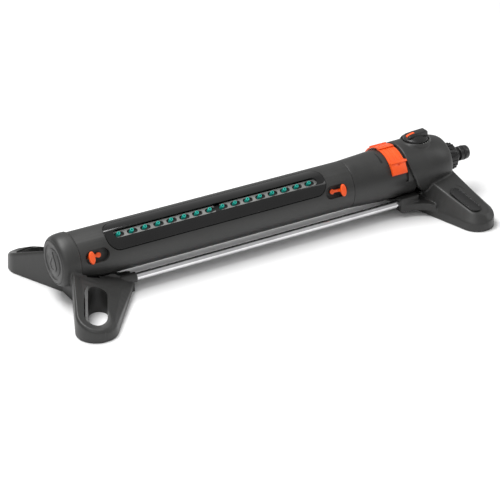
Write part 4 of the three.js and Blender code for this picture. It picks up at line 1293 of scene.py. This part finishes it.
@dataclass
class Inlet:
    """The ribbed nut and the hose tail."""

    bench: Bench
    start: float = 520.9
    end: float = 532.4
    tail: float = 554.9
    nut_radius: float = 16.5
    stem_radius: float = 8.8
    ribs: int = 18

    def build(self) -> None:
        """Makes the nut with its ribs, and the hose tail."""
        a, b, r = self.start, self.end, self.nut_radius
        body = lathe([(a, 13.35), (a, r - 1.5), (a + 0.6, r - 0.9), (b - 1.4, r - 0.9),
                      (b, r - 2.2), (b, 10), (b - 2.5, 10), (b - 2.5, 13.35)], ROUND_STEPS)
        rib = box((a + 0.9, r - 1.6, -0.85), (b - 1.2, r, 0.85)).bevelled(0.4, 2)
        material = self.bench.paints.of[Slot.BLACK]
        turn = 2 * math.pi / self.ribs
        nut = body.beside(self.bench.repeat.of(rib, self.ribs, material, turn=turn))
        self.bench.piece("nut_ribbed", nut, Slot.BLACK, "inlet_nut", ["inlet_nut"])
        s, flange, seal = self.stem_radius, b - 4.45, b + 14.5
        stem = lathe([(flange, 5), (flange, 12.6), (flange + 1.6, 12.6), (flange + 1.6, s + 0.6),
                      (b + 0.9, s + 0.6), (b + 1.3, s + 0.2), (b + 1.8, s - 2), (b + 8, s - 2),
                      (b + 8.6, s - 0.3), (b + 9, s), (seal - 1.4, s), (seal - 1.2, s - 0.2),
                      (seal - 1.2, s - 1.8), (seal + 1.2, s - 1.8), (seal + 1.2, s - 0.2),
                      (seal + 1.4, s), (self.tail - 3, s - 0.2), (self.tail - 1.6, s - 0.6),
                      (self.tail - 0.6, s - 1.4), (self.tail, s - 2.4), (self.tail, 5.4),
                      (self.tail - 0.6, 5)], ROUND_STEPS)
        self.bench.piece("hose_tail", stem, Slot.BLACK, "base", ["inlet_stem"])


@dataclass
class SprayTube:
    """The rocking tube, drawn with its nozzles upright and tilted when it is set in the frame."""

    bench: Bench
    start: float = TUBE_START
    end: float = 373.6
    radius: float = 28.5
    wall: float = 2.4
    nozzles: int = 16
    pitch: float = 16.4
    shift: float = -1.7
    lean: float = math.radians(38)
    recess_size: Point2 = (29.0, 15.4)
    recess_depth: float = 7.0
    pin_hole: float = 2.55

    def __post_init__(self) -> None:
        """Works out the middle and the nozzle slot's ends."""
        self.middle = (self.start + self.end) / 2
        self.slot_half = (self.nozzles - 1) * self.pitch / 2 + 8
        self.pivots = (
            (self.middle - self.slot_half - 22.5, -1),
            (self.middle + self.slot_half + 18, 1),
        )

    def recess(self, pivot: float, side: int, margin: float, low: float, high: float) -> Solid:
        """The long round-ended hollow in which a lever's arm swings.

        Args:
            pivot: the station of the lever's pin.
            side: 1 where the arm points towards the inlet, or -1.
            margin: how far the outline is drawn out, for the cup round the hollow.
            low: its floor's height above the tube's axis.
            high: its top's height.

        Returns:
            The hollow's body, leaning with the lever.
        """
        length, width = self.recess_size
        outline = rounded(length + 2 * margin, width + 2 * margin, width)
        return prism(outline, low, high).moved(pivot + 3 * side, 0, 0).turned(self.lean)

    def shell(self) -> Solid:
        """The drum with its panel pocket, nozzle slot and lever recesses.

        Returns:
            The drum.
        """
        skin = ring(self.start, self.end, self.radius - self.wall, self.radius, DRUM_STEPS)
        length = 2 * self.slot_half
        floor = disc(self.start - 1, self.end + 1, self.radius - 1.55, DRUM_STEPS)
        panel = prism(rounded(length + 21.6, 36, 14.8), 0, 60).moved(self.middle, 0, 0)
        slot = prism(rounded(length + 1, 11.4, 20), 10, 60).moved(self.middle, 0, 0)
        base = self.radius - self.recess_depth
        limit = disc(self.start, self.end, self.radius, DRUM_STEPS)
        cups = [self.recess(x, side, 1.4, base - 1.4, 40).meeting(limit) for x, side in self.pivots]
        hollows = [self.recess(x, side, 0, base, 60) for x, side in self.pivots]
        pins = [post(x, 0, 10, 40, self.pin_hole).turned(self.lean) for x, _ in self.pivots]
        return skin.plus(*cups).minus(panel.minus(floor), slot, *hollows, *pins)

    def trim(self) -> Solid:
        """The glossy panel round the nozzle slot.

        Returns:
            The panel.
        """
        length = 2 * self.slot_half
        sheet = ring(self.start, self.end, self.radius - 1.2, self.radius + 0.3, DRUM_STEPS)
        outline = prism(rounded(length + 20, 34.4, 14, 20), 0, 60)
        hole = prism(rounded(length, 10.4, 20, 16), -1, 61)
        return outline.minus(hole).moved(self.middle, 0, 0).meeting(sheet)

    def strip(self) -> tuple[Solid, Solid]:
        """The dark bed of the nozzles, and the row of nozzles on it.

        Returns:
            The bed and the row.
        """
        base = self.radius - 7.2
        top = base + 1.8
        peak = self.radius + 0.2
        plate = prism(rounded(2 * self.slot_half - 3, 9, 4.5), base, top).moved(self.middle, 0, 0)
        profile = [(top - 0.5, 0.6), (top - 0.5, 2.4), (top + 1.2, 2.3), (peak - 0.8, 2.15),
                   (peak - 0.25, 2.0), (peak, 1.7), (peak, 1.25), (peak - 0.5, 0.95),
                   (peak - 2.2, 0.8), (peak - 2.2, 0.6)]
        nozzle = lathe(profile, 28).placed(Matrix.Rotation(-math.pi / 2, 4, "Y"))
        first = self.middle + self.shift - (self.nozzles - 1) / 2 * self.pitch
        row = self.bench.repeat.of(nozzle, self.nozzles, self.bench.paints.of[Slot.TEAL],
                                   pitch=(self.pitch, 0, 0))
        return plate, row.moved(first, 0, 0)

    def lever(self, pivot: float, side: int) -> Solid:
        """The lever whose grip stands on a neck above its recess.

        Args:
            pivot: the station of its pin.
            side: 1 where its arm points towards the inlet, or -1.

        Returns:
            The lever, leaning on the tube.
        """
        floor = self.radius - self.recess_depth
        top = self.radius + 0.5
        grip_x = pivot + 11 * side
        outline = [(3.7 * math.cos(a), 7.2 * math.sin(a))
                   for a in (2 * math.pi * k / 48 for k in range(48))]
        grip = prism(outline, top, top + 3.5).moved(grip_x, 0, 0).bevelled(1.3, 4)
        rise = [(pivot, floor + 0.6), (pivot, floor + 2.1), (grip_x - 4 * side, floor + 3.2),
                (grip_x - 1.4 * side, top + 1.5), (grip_x + 2.2 * side, top + 1.5),
                (grip_x + 2.2 * side, floor + 0.6)]
        neck = across(rise[::side], 1.5)
        arm = box((min(pivot, grip_x), -1.6, floor + 0.6), (max(pivot, grip_x), 1.6, floor + 2.2))
        hub = post(pivot, 0, floor + 0.6, floor + 2.3, 2.9, 48)
        pin = post(pivot, 0, floor - 5.2, floor + 1, 2.2, 40)
        crank = box((pivot - 1.2, 0, floor - 5), (pivot + 1.2, 10, floor - 3.2))
        finger = post(pivot, 10, floor - 5, floor - 1.4, 1.5, 32)
        return hub.plus(arm, neck, pin, crank, finger, grip).bevelled(0.25, 2).turned(self.lean)

    def build(self) -> None:
        """Makes the drum, its panel, the nozzles and both levers."""
        place = self.bench.piece
        drum = self.shell().bevelled(0.35, 2).turned(TILT)
        place("drum_shell", drum, Slot.CHARCOAL, "spray_assembly", ["spray_tube"])
        panel = self.trim().bevelled(0.3, 3).turned(TILT)
        place("panel_gloss", panel, Slot.GLOSS, "spray_assembly", ["trim_panel"])
        bed, row = self.strip()
        place("nozzle_row", row.turned(TILT), Slot.TEAL, "spray_assembly", ["nozzle_strip"])
        place("nozzle_bed", bed.turned(TILT), Slot.SEAL, "spray_assembly")
        for name, (pivot, side) in zip(("left", "right"), self.pivots):
            lever = self.lever(pivot, side).turned(TILT)
            body = f"width_lever_{name}"
            place(f"lever_{name}", lever, Slot.ORANGE, body, [body])


# ---- Studio -------------------------------------------------------------------------------------


@dataclass(frozen=True)
class Lamp:
    """A soft area light that faces the sprinkler."""

    name: str
    at: Point3
    size: Point2
    power: float

    def place(self) -> None:
        """Sets the light up."""
        data = bpy.data.lights.new(self.name, "AREA")
        data.shape = "RECTANGLE"
        data.size, data.size_y = self.size
        data.energy = self.power
        lamp = bpy.data.objects.new(self.name, data)
        lamp.location = self.at
        lamp.rotation_euler = (-Vector(self.at)).to_track_quat("-Z", "Y").to_euler()
        bpy.context.scene.collection.objects.link(lamp)


@dataclass
class Studio:
    """A plain pale floor, soft light and the camera."""

    eye: Point3 = (-784.6, -1747.4, 1035.1)
    aim: Point3 = (248.7, 0.0, -52.7)
    lens: float = 143.1
    floor_reach: float = 9e3
    world_light: float = 0.5
    lamps: tuple[Lamp, ...] = (
        Lamp("top", (-0.45, 0.3, 1.6), (1.4, 0.8), 31),
        Lamp("front", (-1.1, -1.2, 1.1), (0.9, 0.7), 4),
        Lamp("side", (1.4, -0.5, 0.9), (0.6, 0.9), 3),
    )

    def seen(self, point: Point3) -> Vector:
        """A point in the frame's metres."""
        return Vector((point[0] - ORIGIN_STATION, point[1], point[2] + AXIS_HEIGHT)) * MM

    def build(self) -> None:
        """Makes the floor, the light and the camera."""
        far = self.floor_reach
        floor = Solid.made([(-far, -far, 0), (far, -far, 0), (far, far, 0), (-far, far, 0)],
                           [(0, 1, 2, 3)]).placed(Matrix.Scale(MM, 4))
        stage = bpy.data.objects.new("floor", floor.mesh)
        graph = Graph("pale floor")
        tone = graph.noise(3, 2)
        floor.mesh.materials.append(graph.finish(
            {"Base Color": graph.mix(tone, (0.86, 0.86, 0.86), (0.9, 0.9, 0.9)), "Roughness": 0.9}))
        bpy.context.scene.collection.objects.link(stage)
        world = bpy.data.worlds.new("studio")
        world.use_nodes = True
        sky = world.node_tree.nodes["Background"].inputs
        sky["Color"].default_value = (1, 1, 1, 1)
        sky["Strength"].default_value = self.world_light
        bpy.context.scene.world = world
        for lamp in self.lamps:
            lamp.place()
        data = bpy.data.cameras.new("camera")
        data.lens = self.lens
        data.clip_end = 50
        camera = bpy.data.objects.new("camera", data)
        eye, aim = self.seen(self.eye), self.seen(self.aim)
        camera.location = eye
        camera.rotation_euler = (aim - eye).to_track_quat("-Z", "Y").to_euler()
        bpy.context.scene.collection.objects.link(camera)
        bpy.context.scene.camera = camera
        bpy.context.scene.view_settings.view_transform = "Standard"


def main() -> None:
    """Builds every sub-assembly in turn."""
    logging.basicConfig(level=logging.INFO, format="%(name)s: %(message)s")
    paints = Paintbox()
    paints.dress_frame()
    bench = Bench(paints, Repeat("copies"))
    for assembly in (SprayTube(bench), LeftFoot(bench), Rods(bench), RightFoot(bench),
                     Gearbox(bench), FlowKnob(bench), Inlet(bench), Studio()):
        assembly.build()


if __name__ == "__main__":
    main()
